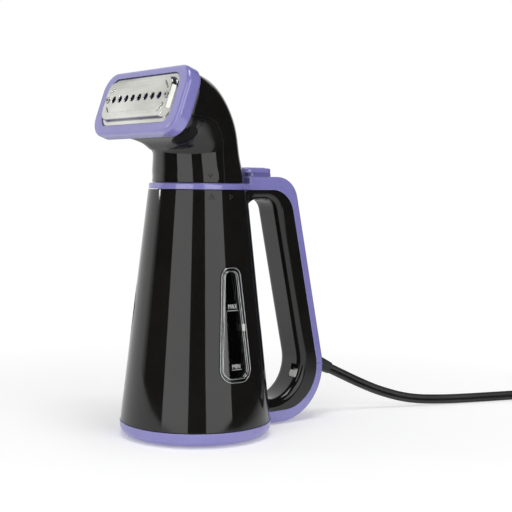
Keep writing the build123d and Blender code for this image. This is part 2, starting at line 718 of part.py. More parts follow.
# Thumb button: two-tier cap, stem, retaining flange and a pin that works the switch
with BuildPart() as thumb_button:
    with BuildSketch(Plane.XY.offset(CAP_FOOT)):
        with Locations((BUTTON_FRONT + BUTTON_LENGTH / 2, 0)):
            RectangleRounded(BUTTON_LENGTH, BUTTON_WIDTH, BUTTON_ROUND)
    extrude(amount=BUTTON_CAP)
    fillet(thumb_button.edges().group_by(Axis.Z)[-1], BUTTON_EDGE)
    fillet(thumb_button.edges().group_by(Axis.Z)[0], BUTTON_EDGE / 2)
    with BuildSketch(Plane.XY.offset(CAP_FOOT + BUTTON_CAP)):
        with Locations((BUTTON_FRONT + BUTTON_LENGTH / 2, 0)):
            for i in range(RIDGE_COUNT):
                with Locations(((i - (RIDGE_COUNT - 1) / 2) * RIDGE_PITCH, 0)):
                    SlotOverall(BUTTON_WIDTH - 4 * BUTTON_EDGE, RIDGE_WIDTH, rotation=90)
    extrude(amount=RIDGE_RISE)
    with BuildSketch(Plane.XY.offset(FLANGE_TOP - FLANGE_THICK)):
        with Locations((STEM_X, 0)):
            RectangleRounded(STEM_LENGTH, STEM_WIDTH, STEM_ROUND)
    extrude(amount=CAP_FOOT - FLANGE_TOP + FLANGE_THICK)
    with BuildSketch(Plane.XY.offset(FLANGE_TOP - FLANGE_THICK)):
        with Locations((STEM_X, 0)):
            RectangleRounded(STEM_LENGTH, FLANGE_WIDTH, STEM_ROUND)
    extrude(amount=FLANGE_THICK)
    with BuildSketch(Plane.XY.offset(SWITCH_TOP - PIN_REACH)):
        with Locations((STEM_X, 0)):
            Circle(PIN_RADIUS)
    extrude(amount=FLANGE_TOP - SWITCH_TOP)
save(thumb_button, "thumb_button")

# Return spring round the pin
with BuildPart() as button_spring:
    with BuildSketch(Plane.XY.offset(SWITCH_TOP)):
        with Locations((STEM_X, 0)):
            Circle(PIN_RADIUS + SPRING_ROOM + SPRING_WIRE)
            Circle(PIN_RADIUS + SPRING_ROOM, mode=Mode.SUBTRACT)
    extrude(amount=FLANGE_TOP - FLANGE_THICK - SWITCH_TOP)
save(button_spring, "button_spring")

# Switch block on the floor of the handle's top arm
with BuildPart() as button_switch:
    with BuildSketch(Plane.XY.offset(ARM_FLOOR)):
        with Locations((STEM_X, 0)):
            RectangleRounded(STEM_LENGTH, STEM_WIDTH, BLOCK_ROUND)
    extrude(amount=SWITCH_TOP - ARM_FLOOR)
    with BuildSketch(Plane.XY.offset(SWITCH_TOP - PIN_REACH - BUTTON_TRAVEL - RUN_GAP)):
        with Locations((STEM_X, 0)):
            Circle(PIN_RADIUS + RUN_GAP)
    extrude(amount=SWITCH_TOP, mode=Mode.SUBTRACT)
save(button_switch, "button_switch")


def neck_solid(inset):
    """Neck and hood as one solid, from a round foot to a wide rounded mouth, drawn inwards by an inset."""
    with BuildPart(mode=Mode.PRIVATE) as solid:
        for i in range(NECK_SECTIONS):
            share = i / (NECK_SECTIONS - 1)
            radius = NECK_FOOT_RADIUS + (NECK_RADIUS - NECK_FOOT_RADIUS) * share - inset
            with BuildSketch(Plane((-NECK_LEAN * share, 0, NECK_FOOT + NECK_RISE * share))):
                RectangleRounded(2 * radius, 2 * radius, NEAR_ROUND * radius)
        for i in range(1, ELBOW_STEPS + 1):
            share = i / ELBOW_STEPS
            angle = math.radians((90 - PLATE_TILT) * share)
            height = 2 * NECK_RADIUS + (HOOD_HEIGHT - 2 * NECK_RADIUS) * share
            width = 2 * NECK_RADIUS + (HOOD_WIDTH - 2 * NECK_RADIUS) * share**WIDTH_EASE
            corner = NEAR_ROUND * NECK_RADIUS * (1 - share) + HOOD_CORNER * share
            reach = CHIN_RADIUS + height / 2
            section = Plane(
                origin=(CHIN_X + reach * math.cos(angle), 0, NECK_TOP + reach * math.sin(angle)),
                x_dir=(0, 1, 0),
                z_dir=(-math.sin(angle), 0, math.cos(angle)),
            )
            with BuildSketch(section):
                RectangleRounded(width - 2 * inset, height - 2 * inset, corner - inset)
        to_bezel = -BEZEL_DEPTH - PLATE_PLANE.to_local_coords(section.origin).Z
        with BuildSketch(section.offset(to_bezel)):
            RectangleRounded(HOOD_WIDTH - 2 * inset, HOOD_HEIGHT - 2 * inset, HOOD_CORNER - inset)
        loft()
    return solid.part


def hood_region(shrink):
    """Space of the rear hood: everything behind and above the crease, made smaller by a margin."""
    with BuildPart(mode=Mode.PRIVATE) as region:
        with BuildSketch(Plane.XZ):
            with BuildLine():
                crease = FilletPolyline(
                    (shrink, 0),
                    (shrink, CREASE_TOP + shrink),
                    (-HOOD_WIDTH, CREASE_TOP + shrink),
                    radius=CREASE_RADIUS,
                )
                Polyline(
                    crease @ 1,
                    (-HOOD_WIDTH, 2 * CREASE_TOP),
                    (HOOD_WIDTH, 2 * CREASE_TOP),
                    (HOOD_WIDTH, 0),
                    crease @ 0,
                )
            make_face()
        extrude(amount=HOOD_WIDTH, both=True)
    return region.part


# Rear hood of the neck
with BuildPart() as neck_hood:
    add(neck_solid(0))
    add(neck_solid(NECK_WALL), mode=Mode.SUBTRACT)
    add(hood_region(0), mode=Mode.INTERSECT)
save(neck_hood, "neck_hood")

# Throat of the neck, a step inside the hood
with BuildPart() as neck_throat:
    add(neck_solid(NECK_STEP))
    add(neck_solid(NECK_WALL), mode=Mode.SUBTRACT)
    add(hood_region(-FIT_GAP), mode=Mode.SUBTRACT)
save(neck_throat, "neck_throat")

# Tray that carries the steam plate
with BuildPart() as head_bezel:
    with BuildSketch(PLATE_PLANE.offset(-BEZEL_DEPTH)):
        with Locations((0, -BEZEL_DROP)):
            RectangleRounded(BEZEL_WIDTH, BEZEL_HEIGHT, BEZEL_CORNER)
    extrude(amount=BEZEL_DEPTH + BEZEL_LIP)
    rim_faces = head_bezel.faces().filter_by(lambda f: abs(f.normal_at().dot(PLATE_PLANE.z_dir)) > 0.99)
    fillet(rim_faces.edges(), BEZEL_EDGE)
    with BuildSketch(PLATE_PLANE.offset(-PLATE_THICK - GASKET_THICK)):
        RectangleRounded(RECESS_WIDTH, RECESS_HEIGHT, PLATE_CORNER + RECESS_GAP)
    extrude(amount=BEZEL_DEPTH, mode=Mode.SUBTRACT)
    with BuildSketch(PLATE_PLANE.offset(-CHAMBER_DEPTH)):
        RectangleRounded(PRESS_WIDTH, PRESS_HEIGHT, PLATE_CORNER)
    extrude(amount=CHAMBER_DEPTH, mode=Mode.SUBTRACT)
    with BuildSketch(PLATE_PLANE.offset(-CHAMBER_DEPTH)):
        with Locations((-RIVET_X, HOLE_RISE), (RIVET_X, HOLE_RISE)):
            Circle(POST_RADIUS)
    extrude(amount=CHAMBER_DEPTH + PANEL_RISE - PLATE_THICK)
    with BuildSketch(PLATE_PLANE.offset(PANEL_RISE - PLATE_THICK)):
        with Locations((-RIVET_X, HOLE_RISE), (RIVET_X, HOLE_RISE)):
            Circle(RIVET_SHANK + FIT_GAP)
    extrude(amount=-RIVET_LENGTH, mode=Mode.SUBTRACT)
    with BuildSketch(PLATE_PLANE.offset(-BEZEL_DEPTH)):
        with Locations((0, DUCT_RISE)):
            Circle(DUCT_RADIUS + FIT_GAP)
    extrude(amount=BEZEL_DEPTH - CHAMBER_DEPTH, mode=Mode.SUBTRACT)
save(head_bezel, "head_bezel")

# Seal frame under the plate
with BuildPart() as plate_gasket:
    with BuildSketch(PLATE_PLANE.offset(-PLATE_THICK)):
        RectangleRounded(PLATE_WIDTH, PLATE_HEIGHT, PLATE_CORNER)
        RectangleRounded(PANEL_WIDTH, PANEL_HEIGHT, PLATE_CORNER, mode=Mode.SUBTRACT)
    extrude(amount=-GASKET_THICK)
save(plate_gasket, "plate_gasket")

# Pressed steam plate: flange, raised panel, two bracket-shaped ribs and the row of holes
with BuildPart() as steam_plate:
    with BuildSketch(PLATE_PLANE.offset(-PLATE_THICK)):
        RectangleRounded(PLATE_WIDTH, PLATE_HEIGHT, PLATE_CORNER)
    extrude(amount=PLATE_THICK)
    with BuildSketch(PLATE_PLANE):
        RectangleRounded(PANEL_WIDTH, PANEL_HEIGHT, PLATE_CORNER)
    extrude(amount=PANEL_RISE, taper=PANEL_DRAFT)
    with BuildSketch(PLATE_PLANE.offset(PANEL_RISE)):
        for side in (-1, 1):
            with BuildLine():
                Polyline(
                    (-BRACKET_HALF - BRACKET_DIAGONAL, side * (BRACKET_LEVEL - BRACKET_DIAGONAL)),
                    (-BRACKET_HALF, side * BRACKET_LEVEL),
                    (BRACKET_HALF, side * BRACKET_LEVEL),
                    (BRACKET_HALF + BRACKET_DIAGONAL, side * (BRACKET_LEVEL - BRACKET_DIAGONAL)),
                )
            trace(line_width=RIB_WIDTH)
    extrude(amount=RIB_RISE)
    with BuildSketch(PLATE_PLANE.offset(-PLATE_THICK)):
        RectangleRounded(PRESS_WIDTH, PRESS_HEIGHT, PLATE_CORNER - PRESS_INSET)
    extrude(amount=PANEL_RISE, taper=PANEL_DRAFT, mode=Mode.SUBTRACT)
    with BuildSketch(PLATE_PLANE):
        with Locations((0, HOLE_RISE)):
            with GridLocations(HOLE_PITCH, 0, HOLE_COUNT - 2, 1):
                Circle(HOLE_RADIUS)
        with Locations((-RIVET_X, HOLE_RISE), (RIVET_X, HOLE_RISE)):
            Circle(RIVET_SHANK + FIT_GAP)
    extrude(amount=BEZEL_DEPTH, both=True, mode=Mode.SUBTRACT)
save(steam_plate, "steam_plate")

# Hollow rivets at both ends of the row
with BuildPart() as end_rivets:
    with BuildSketch(PLATE_PLANE.offset(PANEL_RISE)):
        with Locations((-RIVET_X, HOLE_RISE), (RIVET_X, HOLE_RISE)):
            Circle(RIVET_HEAD)
    extrude(amount=RIVET_RISE)
    with BuildSketch(PLATE_PLANE.offset(PANEL_RISE)):
        with Locations((-RIVET_X, HOLE_RISE), (RIVET_X, HOLE_RISE)):
            Circle(RIVET_SHANK)
    extrude(amount=-RIVET_LENGTH)
    with BuildSketch(PLATE_PLANE.offset(PANEL_RISE + RIVET_RISE)):
        with Locations((-RIVET_X, HOLE_RISE), (RIVET_X, HOLE_RISE)):
            Circle(RIVET_BORE)
    extrude(amount=-RIVET_LENGTH, mode=Mode.SUBTRACT)
save(end_rivets, "end_rivets")

# Steam duct from the tank up to the plate's chamber
with BuildPart() as steam_duct:
    with BuildLine() as duct_line:
        FilletPolyline((0, 0, DUCT_FOOT), (0, 0, DUCT_CORNER.Z), DUCT_END, radius=DUCT_BEND)
    with BuildSketch(Plane.XY.offset(DUCT_FOOT)):
        Circle(DUCT_RADIUS)
        Circle(DUCT_RADIUS - DUCT_WALL, mode=Mode.SUBTRACT)
    sweep()
save(steam_duct, "steam_duct")

# Collar that closes the neck and locks into the tank's mouth
with BuildPart() as head_collar:
    add(disc_body(SKIRT_FOOT, (SKIRT_RADIUS, SEAL_TOP - SKIRT_FOOT)))
    add(disc_body(SEAL_TOP, (SEAL_RADIUS, COLLAR_FOOT - SEAL_TOP), (COLLAR_RADIUS, COLLAR_THICK)))
    add(disc_body(SKIRT_FOOT, (SKIRT_RADIUS - COLLAR_WALL, COLLAR_FOOT - SKIRT_FOOT)), mode=Mode.SUBTRACT)
    with BuildSketch(Plane.XY.offset(SKIRT_FOOT)):
        for i in range(LUG_COUNT):
            add(sector(LUG_RADIUS, i * 360 / LUG_COUNT, LUG_ANGLE))
        Circle(SKIRT_RADIUS - COLLAR_WALL, mode=Mode.SUBTRACT)
    extrude(amount=LUG_HEIGHT)
    add(disc_body(COLLAR_FOOT, (DUCT_RADIUS + FIT_GAP, COLLAR_THICK)), mode=Mode.SUBTRACT)
save(head_collar, "head_collar")

# Seal between collar and tank mouth
with BuildPart() as head_seal:
    with BuildSketch(Plane.XY.offset(SEAL_FOOT)):
        Circle(SEAL_RADIUS)
        Circle(SKIRT_RADIUS, mode=Mode.SUBTRACT)
    extrude(amount=SEAL_HEIGHT)
save(head_seal, "head_seal")

# Slotted disc in the skirt that keeps splashes out of the duct
with BuildPart() as splash_baffle:
    add(disc_body(SKIRT_FOOT + BAFFLE_RISE, (SKIRT_RADIUS - COLLAR_WALL - FIT_GAP, BAFFLE_THICK)))
    with BuildSketch(Plane.XY.offset(SKIRT_FOOT + BAFFLE_RISE)):
        with PolarLocations(BAFFLE_RING_RADIUS, BAFFLE_SLOTS):
            SlotOverall(BAFFLE_SLOT, BAFFLE_SLOT / 3)
    extrude(amount=BAFFLE_THICK, mode=Mode.SUBTRACT)
save(splash_baffle, "splash_baffle")

# Bent tubular heater
with BuildPart() as heating_element:
    with BuildLine(Plane.XY.offset(ELEMENT_LEVEL)) as element_line:
        CenterArc((0, 0), ELEMENT_RING_RADIUS, ELEMENT_GAP / 2, 360 - ELEMENT_GAP)
    with BuildSketch(Plane(element_line.line @ 0, z_dir=element_line.line % 0)):
        Circle(ELEMENT_RADIUS)
    sweep()
    for end in (0, 1):
        with Locations(element_line.line @ end):
            Sphere(ELEMENT_RADIUS)
            Cylinder(TAB_RADIUS, TAB_LENGTH, align=(Align.CENTER, Align.CENTER, Align.MAX))
save(heating_element, "heating_element")

# Boiler plate with a groove for the heater
with BuildPart() as heater_plate:
    add(disc_body(HEATER_FOOT, (HEATER_RADIUS, HEATER_THICK)))
    with BuildLine(Plane.XY.offset(ELEMENT_LEVEL)) as groove_line:
        CenterArc((0, 0), ELEMENT_RING_RADIUS, 0, 360)
    with BuildSketch(Plane(groove_line.line @ 0, z_dir=groove_line.line % 0)):
        Circle(ELEMENT_RADIUS + FIT_GAP)
    sweep(mode=Mode.SUBTRACT)
    with BuildSketch(Plane.XY.offset(HEATER_FOOT)):
        with PolarLocations(HEATER_SCREW_RING_RADIUS, 4):
            Circle(HEATER_SCREW_RADIUS + FIT_GAP)
    extrude(amount=HEATER_THICK, mode=Mode.SUBTRACT)
save(heater_plate, "heater_plate")

# Seal between boiler plate and tank floor
with BuildPart() as heater_seal:
    with BuildSketch(Plane.XY.offset(HEATER_TOP)):
        Circle(HEATER_SEAL_OUTER)
        Circle(FLOOR_HOLE, mode=Mode.SUBTRACT)
    extrude(amount=HEATER_SEAL)
save(heater_seal, "heater_seal")

with BuildPart() as heater_screws:
    for spot in PolarLocations(HEATER_SCREW_RING_RADIUS, 4):
        with Locations(spot):
            add(
                disc_body(
                    HEATER_FOOT - SCREW_HEAD_HEIGHT,
                    (SCREW_HEAD, SCREW_HEAD_HEIGHT),
                    (HEATER_SCREW_RADIUS, SCREW_LENGTH),
                )
            )
save(heater_screws, "heater_screws")

with BuildPart() as base_screws:
    for spot in PolarLocations(PILLAR_RING_RADIUS, 4, start_angle=45):
        with Locations(spot):
            add(disc_body(FOOT_PROUD, (SCREW_HEAD, FOOT_RECESS), (BASE_SCREW_RADIUS, SCREW_LENGTH)))
save(base_screws, "base_screws")

# Soft ring that the base stands on
with BuildPart() as foot_ring:
    with BuildSketch():
        Circle(FOOT_OUTER)
        Circle(FOOT_INNER, mode=Mode.SUBTRACT)
    extrude(amount=FOOT_PROUD + FOOT_RECESS)
    fillet(foot_ring.edges().group_by(Axis.Z)[0], FOOT_PROUD / 2)
save(foot_ring, "foot_ring")

# Thermostat under the middle of the boiler plate
with BuildPart() as thermostat:
    add(
        disc_body(
            HEATER_FOOT - THERMOSTAT_HEIGHT,
            (THERMOSTAT_RADIUS - THERMOSTAT_STEP, THERMOSTAT_HEIGHT - THERMOSTAT_FLANGE),
            (THERMOSTAT_RADIUS, THERMOSTAT_FLANGE),
        )
    )
    for side in (-1, 1):
        with Locations((0, side * THERMOSTAT_RADIUS / 2, HEATER_FOOT - THERMOSTAT_HEIGHT)):
            Box(TAB_RADIUS * 2, TAB_THICK, TAB_LENGTH, align=(Align.CENTER, Align.CENTER, Align.MAX))
save(thermostat, "thermostat")

# Thermal fuse clipped beside it
with BuildPart() as thermal_fuse:
    with Locations((0, FUSE_SIDE, HEATER_FOOT - FUSE_RADIUS)):
        Cylinder(FUSE_RADIUS, FUSE_LENGTH, rotation=(0, 90, 0))
        Cylinder(FUSE_WIRE, FUSE_LENGTH + 2 * TAB_LENGTH, rotation=(0, 90, 0))
save(thermal_fuse, "thermal_fuse")

# Terminal block on the base's floor
with BuildPart() as terminal_block:
    with BuildSketch(Plane.XY.offset(BASE_FLOOR)):
        with Locations((TERMINAL_X, WIRE_SIDE)):
            RectangleRounded(TERMINAL_LENGTH, TERMINAL_WIDTH, BLOCK_ROUND)
    extrude(amount=TERMINAL_HEIGHT)
    for side in (-1, 1):
        with Locations((TERMINAL_X, WIRE_SIDE + side * TERMINAL_WIDTH / 4, BASE_FLOOR + TERMINAL_HEIGHT)):
            Cylinder(TERMINAL_SCREW, TERMINAL_SCREW, mode=Mode.SUBTRACT)
save(terminal_block, "terminal_block")

# Sliding knob of the switch, with a flange behind the grip's wall
with BuildPart() as switch_slider:
    with BuildSketch(SWITCH_FACE.offset(-GRIP_WALL - RUN_GAP - SLIDER_FLANGE)):
        with Locations((0, -SWITCH_TRAVEL / 2)):
            RectangleRounded(SLIDER_WIDTH, SLIDER_LENGTH, BLOCK_ROUND)
    extrude(amount=SLIDER_FLANGE)
    with BuildSketch(SWITCH_FACE.offset(-GRIP_WALL - RUN_GAP)):
        with Locations((0, -SWITCH_TRAVEL / 2)):
            RectangleRounded(SWITCH_WIDTH - 2 * RUN_GAP, KNOB_LENGTH, BLOCK_ROUND)
    extrude(amount=GRIP_WALL + RUN_GAP + KNOB_PROUD)
save(switch_slider, "switch_slider")

# Body of the slide switch, against the inside of the grip
with BuildPart() as switch_body:
    with BuildSketch(SWITCH_FACE):
        Rectangle(
            SLIDER_WIDTH + 2 * RUN_GAP + 2 * SWITCH_CHEEK,
            SLIDER_LENGTH + SWITCH_TRAVEL + 4 * SWITCH_CHEEK,
        )
    extrude(amount=-GRIP_WALL - SWITCH_DEPTH)
    with BuildSketch(SWITCH_FACE):
        Rectangle(SLIDER_WIDTH + 2 * RUN_GAP, SLIDER_LENGTH + SWITCH_TRAVEL + 2 * RUN_GAP)
    extrude(amount=-GRIP_WALL - 2 * RUN_GAP - SLIDER_FLANGE, mode=Mode.SUBTRACT)
    add(grip_room.part, mode=Mode.INTERSECT)
save(switch_body, "switch_body")

# Moulded sleeve where the lead leaves the handle
with BuildPart() as strain_relief:
    with BuildSketch(OUTLET):
        RectangleRounded(OUTLET_WIDTH, OUTLET_HEIGHT, OUTLET_ROUND)
    with BuildSketch(OUTLET.offset(RELIEF_FLARE)):
        RectangleRounded(RELIEF_WIDTH, RELIEF_HEIGHT, OUTLET_ROUND)
    loft()
    with BuildSketch(OUTLET.offset(RELIEF_FLARE)):
        RectangleRounded(RELIEF_WIDTH, RELIEF_HEIGHT, OUTLET_ROUND)
    extrude(amount=RELIEF_ROOT)
    add(strip_block(0, SEAM_LEVEL + GRIP_DEPTH), mode=Mode.SUBTRACT)
    with BuildSketch(OUTLET.offset(RELIEF_FLARE / 2)):
        RectangleRounded(OUTLET_WIDTH - 2 * FIT_GAP, OUTLET_HEIGHT - 2 * FIT_GAP, OUTLET_ROUND - FIT_GAP)
    extrude(amount=RELIEF_LENGTH - RELIEF_FLARE / 2)
    with BuildSketch(OUTLET.offset(RELIEF_STOP)):
        RectangleRounded(RELIEF_WIDTH, RELIEF_HEIGHT, OUTLET_ROUND)
    extrude(amount=RELIEF_RIM)
save(strain_relief, "strain_relief")

# Two insulated wires from the sleeve through the handle's foot to the terminal block
with BuildPart() as internal_leads:
    for side in (-1, 1):
        start = OUTLET.from_local_coords(Vector(side * WIRE_START / 2, 0, RELIEF_LENGTH))
        turn = OUTLET.from_local_coords(Vector(side * WIRE_START / 2, 0, RELIEF_LENGTH + WIRE_LEADIN))
        wire_y = WIRE_SIDE + side * WIRE_SPACE / 2
        with BuildLine() as wire_line:
            FilletPolyline(
                start,
                turn,
                (WIRE_BACK, wire_y, WIRE_TURN_Z),
                (WIRE_TURN_X, wire_y, WIRE_LEVEL),
                (TERMINAL_X + TERMINAL_LENGTH / 2, wire_y, WIRE_LEVEL),
                radius=WIRE_BEND,
            )
        with BuildSketch(Plane(wire_line.line @ 0, z_dir=wire_line.line % 0)):
            Circle(WIRE_RADIUS)
        sweep(path=wire_line.line)
save(internal_leads, "internal_leads")


def bend_radii(points):
    """Radius of each bend of a route, so that its arc takes nearly half of the shorter run beside it."""
    radii = []
    for before, corner, after in zip(points, points[1:], points[2:]):
        run_in = corner - before
        run_out = after - corner
        turn = math.radians(run_in.get_angle(run_out))
        radii.append(BEND_SHARE * min(run_in.length, run_out.length) / math.tan(turn / 2))
    return radii


def cord_section(plane):
    """Flat section of the lead, its width along the plane's y."""
    with BuildSketch(plane, mode=Mode.PRIVATE) as section:
        SlotOverall(CORD_WIDTH, CORD_THICK, rotation=90)
    return section.sketch


# Free stretch of the lead, from the handle to the coil
lead_radii = bend_radii(LEAD_POINTS)
print("lead bend radii", [round(r, 1) for r in lead_radii])
with BuildPart() as cord_lead:
    with BuildLine() as lead_line:
        FilletPolyline(*LEAD_POINTS, radius=lead_radii)
    lead_plane = Plane(LEAD_POINTS[0], x_dir=LEAD_OUT.cross(Vector(0, 0, 1)), z_dir=LEAD_OUT)
    sweep(cord_section(lead_plane), path=lead_line.line)
print("lead length", round(lead_line.wire().length, 1))
save(cord_lead, "cord_lead")


def coil_node(k):
    """Point and direction of the wound lead at one of its nodes."""
    middle = COIL_NODES / 2
    angle = COIL_START + k * COIL_STEP
    out = Vector(math.cos(angle), math.sin(angle), 0)
    round_way = Vector(-math.sin(angle), math.cos(angle), 0)
    if k < middle:
        radius = COIL_INNER + COIL_RATE * COIL_STEP * (middle - 1 - k)
        way = round_way * radius - out * COIL_RATE
        level = 0
    elif k > middle:
        radius = COIL_INNER + COIL_RATE * COIL_STEP * (k - 1 - middle)
        way = round_way * radius + out * COIL_RATE
        level = COIL_LAYER
    else:
        radius = COIL_INNER - COIL_RATE * COIL_STEP
        way = round_way * radius + Vector(0, 0, COIL_LAYER / COIL_STEP * CLIMB_SHARE)
        level = COIL_LAYER / 2
    if k in (0, COIL_NODES):
        way = round_way
    return COIL_CENTRE + out * radius + Vector(0, 0, level), way.normalized()


def biarc_joint(p1, t1, p2, t2):
    """Point where two tangent arcs between two directed points meet."""
    v = p2 - p1
    t = t1 + t2
    spread = 2 * (1 - t1.dot(t2))
    reach = (-v.dot(t) + math.sqrt(v.dot(t) ** 2 + spread * v.dot(v))) / spread
    return (p1 + t1 * reach + p2 - t2 * reach) * 0.5


def least_gap(line):
    """Smallest clearance between two turns of the wound lead, from points along its middle line."""
    count = round(line.length / GAP_STEP)
    spots = [line @ (k / count) for k in range(count + 1)]
    half_turn = round(math.pi * COIL_INNER / GAP_STEP)
    gaps = []
    for k, spot in enumerate(spots):
        for other in spots[k + half_turn :]:
            above = max(0, abs(other.Z - spot.Z) - CORD_WIDTH + CORD_THICK)
            beside = math.hypot(other.X - spot.X, other.Y - spot.Y)
            gaps.append(math.hypot(beside, above) - CORD_THICK)
    return min(gaps)


# Wound lead: two flat layers, in on the lower one and out on the upper one
with BuildPart() as cord_coil:
    with BuildLine() as coil_line:
        spot, way = coil_node(0)
        Line(LEAD_POINTS[-1], spot)
        for k in range(COIL_NODES):
            next_spot, next_way = coil_node(k + 1)
            joint = biarc_joint(spot, way, next_spot, next_way)
            first = TangentArc(spot, joint, tangent=way)
            TangentArc(joint, next_spot, tangent=first % 1)
            spot = next_spot
            way = next_way
        Line(spot, spot + way * TAIL_LENGTH)
    section_plane = Plane(LEAD_POINTS[-1], x_dir=LEAD_END.cross(Vector(0, 0, 1)), z_dir=LEAD_END)
    upright = coil_line.wire().moved(Location((0, 0, COIL_RADIUS)))
    sweep(cord_section(section_plane), path=coil_line.line, binormal=upright)
print("coil length", round(coil_line.wire().length, 1))
print("coil least gap", round(least_gap(coil_line.wire()), 2))
save(cord_coil, "cord_coil")

# Band that holds the turns together
with BuildPart() as cord_tie:
    with BuildSketch(TIE_PLANE):
        with Locations((TIE_MIDDLE, COIL_LIFT + (COIL_LAYER + CORD_WIDTH) / 2)):
            RectangleRounded(TIE_SPAN + 2 * TIE_THICK, TIE_RISE + 2 * TIE_THICK, 3 * TIE_THICK)
            RectangleRounded(TIE_SPAN, TIE_RISE, 2 * TIE_THICK, mode=Mode.SUBTRACT)
    extrude(amount=TIE_WIDTH / 2, both=True)
save(cord_tie, "cord_tie")

# Plug at the far end, standing on its edge
with BuildPart() as plug_body:
    with BuildSketch(PLUG_PLANE):
        RectangleRounded(BOOT_WIDTH, BOOT_HEIGHT, OUTLET_ROUND)
    with BuildSketch(PLUG_PLANE.offset(BOOT_LENGTH)):
        RectangleRounded(PLUG_WIDTH, PLUG_HEIGHT, PLUG_ROUND)
    loft()
    with BuildSketch(PLUG_PLANE.offset(BOOT_LENGTH)):
        RectangleRounded(PLUG_WIDTH, PLUG_HEIGHT, PLUG_ROUND)
    extrude(amount=PLUG_LENGTH)
    fillet(plug_body.edges().group_by(Axis.Y)[-1], OUTLET_ROUND)
    with BuildSketch(PLUG_PLANE.offset(BOOT_LENGTH + PLUG_LENGTH)):
        with Locations((0, -BLADE_SPACE / 2), (0, BLADE_SPACE / 2)):
            Rectangle(BLADE_WIDTH + 2 * FIT_GAP, BLADE_THICK + 2 * FIT_GAP)
    extrude(amount=-BLADE_ROOT, mode=Mode.SUBTRACT)
save(plug_body, "plug_body")

with BuildPart() as plug_blades:
    with BuildSketch(PLUG_PLANE.offset(BOOT_LENGTH + PLUG_LENGTH - BLADE_ROOT)):
        with Locations((0, -BLADE_SPACE / 2), (0, BLADE_SPACE / 2)):
            Rectangle(BLADE_WIDTH, BLADE_THICK)
    extrude(amount=BLADE_ROOT + BLADE_LENGTH)
    chamfer(plug_blades.edges().group_by(Axis.Y)[-1], BLADE_THICK / 4)
save(plug_blades, "plug_blades")
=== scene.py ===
"""Garment steamer in a small studio.

Finishes, the flat mains cord and its plug, the window's marks, beads and clips, the lock marks, small hardware,
floor, light and camera. All sizes are in metres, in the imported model's own frame: +Z up, steam plate towards -X,
handle towards +X.
"""

import json
import math

import bmesh
import bpy
from mathutils import Matrix, Vector


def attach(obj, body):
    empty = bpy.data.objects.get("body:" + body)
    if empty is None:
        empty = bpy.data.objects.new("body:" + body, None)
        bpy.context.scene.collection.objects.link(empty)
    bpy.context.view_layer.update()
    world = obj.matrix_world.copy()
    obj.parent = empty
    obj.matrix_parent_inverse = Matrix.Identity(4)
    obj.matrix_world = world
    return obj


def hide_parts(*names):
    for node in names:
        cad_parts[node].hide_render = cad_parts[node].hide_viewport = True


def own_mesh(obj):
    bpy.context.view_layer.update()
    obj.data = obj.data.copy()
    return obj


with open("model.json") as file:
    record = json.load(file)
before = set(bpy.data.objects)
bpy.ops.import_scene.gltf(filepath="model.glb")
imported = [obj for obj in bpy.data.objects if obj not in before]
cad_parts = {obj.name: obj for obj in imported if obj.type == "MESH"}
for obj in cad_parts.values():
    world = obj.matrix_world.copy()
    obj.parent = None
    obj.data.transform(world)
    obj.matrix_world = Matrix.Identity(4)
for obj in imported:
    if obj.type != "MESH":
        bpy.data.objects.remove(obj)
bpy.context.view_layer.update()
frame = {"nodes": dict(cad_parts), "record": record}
nodes = frame["nodes"]
scene = bpy.context.scene
scene.view_settings.view_transform = "Standard"

# Modelling: how squarely a face must look one way to be picked, and how close points are welded
FACING = 0.9
WELD = 0.00001

# Camera, as the photograph was taken
CAMERA_AZIMUTH = math.radians(-34.0)
CAMERA_DISTANCE = 0.75567
CAMERA_HEIGHT = 0.17173
CAMERA_TURN = math.radians(-3.07)
CAMERA_DIP = math.radians(3.696)
CAMERA_ROLL = math.radians(0.8)
CAMERA_LENS = 77.4
CAMERA_SENSOR = 36.0

# Flat twin cord: its section of two round cores, the route of its free stretch from the handle, and the coil
CORD_WIDTH = 0.0074
CORD_THICK = 0.0038
CORE_START = math.radians(-90)
CORE_SWEEP = math.radians(300)
CORE_STEPS = 12
CORD_ROUTE = [
    (0.121, 0.0, 0.0342),
    (0.133, -0.0012, 0.0286),
    (0.148, -0.0046, 0.0212),
    (0.166, -0.010, 0.0132),
    (0.190, -0.0175, 0.0060),
    (0.218, -0.027, 0.0041),
    (0.250, -0.038, 0.0042),
    (0.285, -0.0495, 0.0045),
    (0.325, -0.063, 0.0049),
    (0.367, -0.0766, 0.0049),
]
COIL_MIDDLE = (0.38864, -0.03378)
COIL_OUTER = 0.0474
COIL_INNER = 0.0340
COIL_LOW = 0.0049
COIL_HIGH = 0.0129
COIL_START = math.radians(-107.94)
COIL_TURNS = 6
COIL_STEPS = 16
CLIMB_STEPS = 5
CORD_TAIL = 0.024

# Tank cone, the window in it and the clips on the window's rim
TANK_FOOT = 0.0104
TANK_FOOT_RADIUS = 0.0518
TANK_TAPER = 0.018 / 0.1576
WINDOW_BACK = -0.0015
RIM_SHARPNESS = math.radians(40)
BEAD_RADIUS = 0.0003
CLIP_THICK = 0.0012
CLIP_LEAN = math.radians(-6.5)
CLIP_BORDER = 0.22
CLIP_POCKET = 0.0003
CLIP_ROUND = 0.00012

# Marks: how far they stand off their surface, where their outlines start in front of it, and their strokes
MARK_RAISE = 0.0005
MARK_LIFT = 0.00004
MARK_START = -0.09
MARK_STROKE = 0.24
MARK_CUTS = 3
WORD_RAISE = 0.00012
LINE_TALL = 0.0003
LINE_STEPS = 14

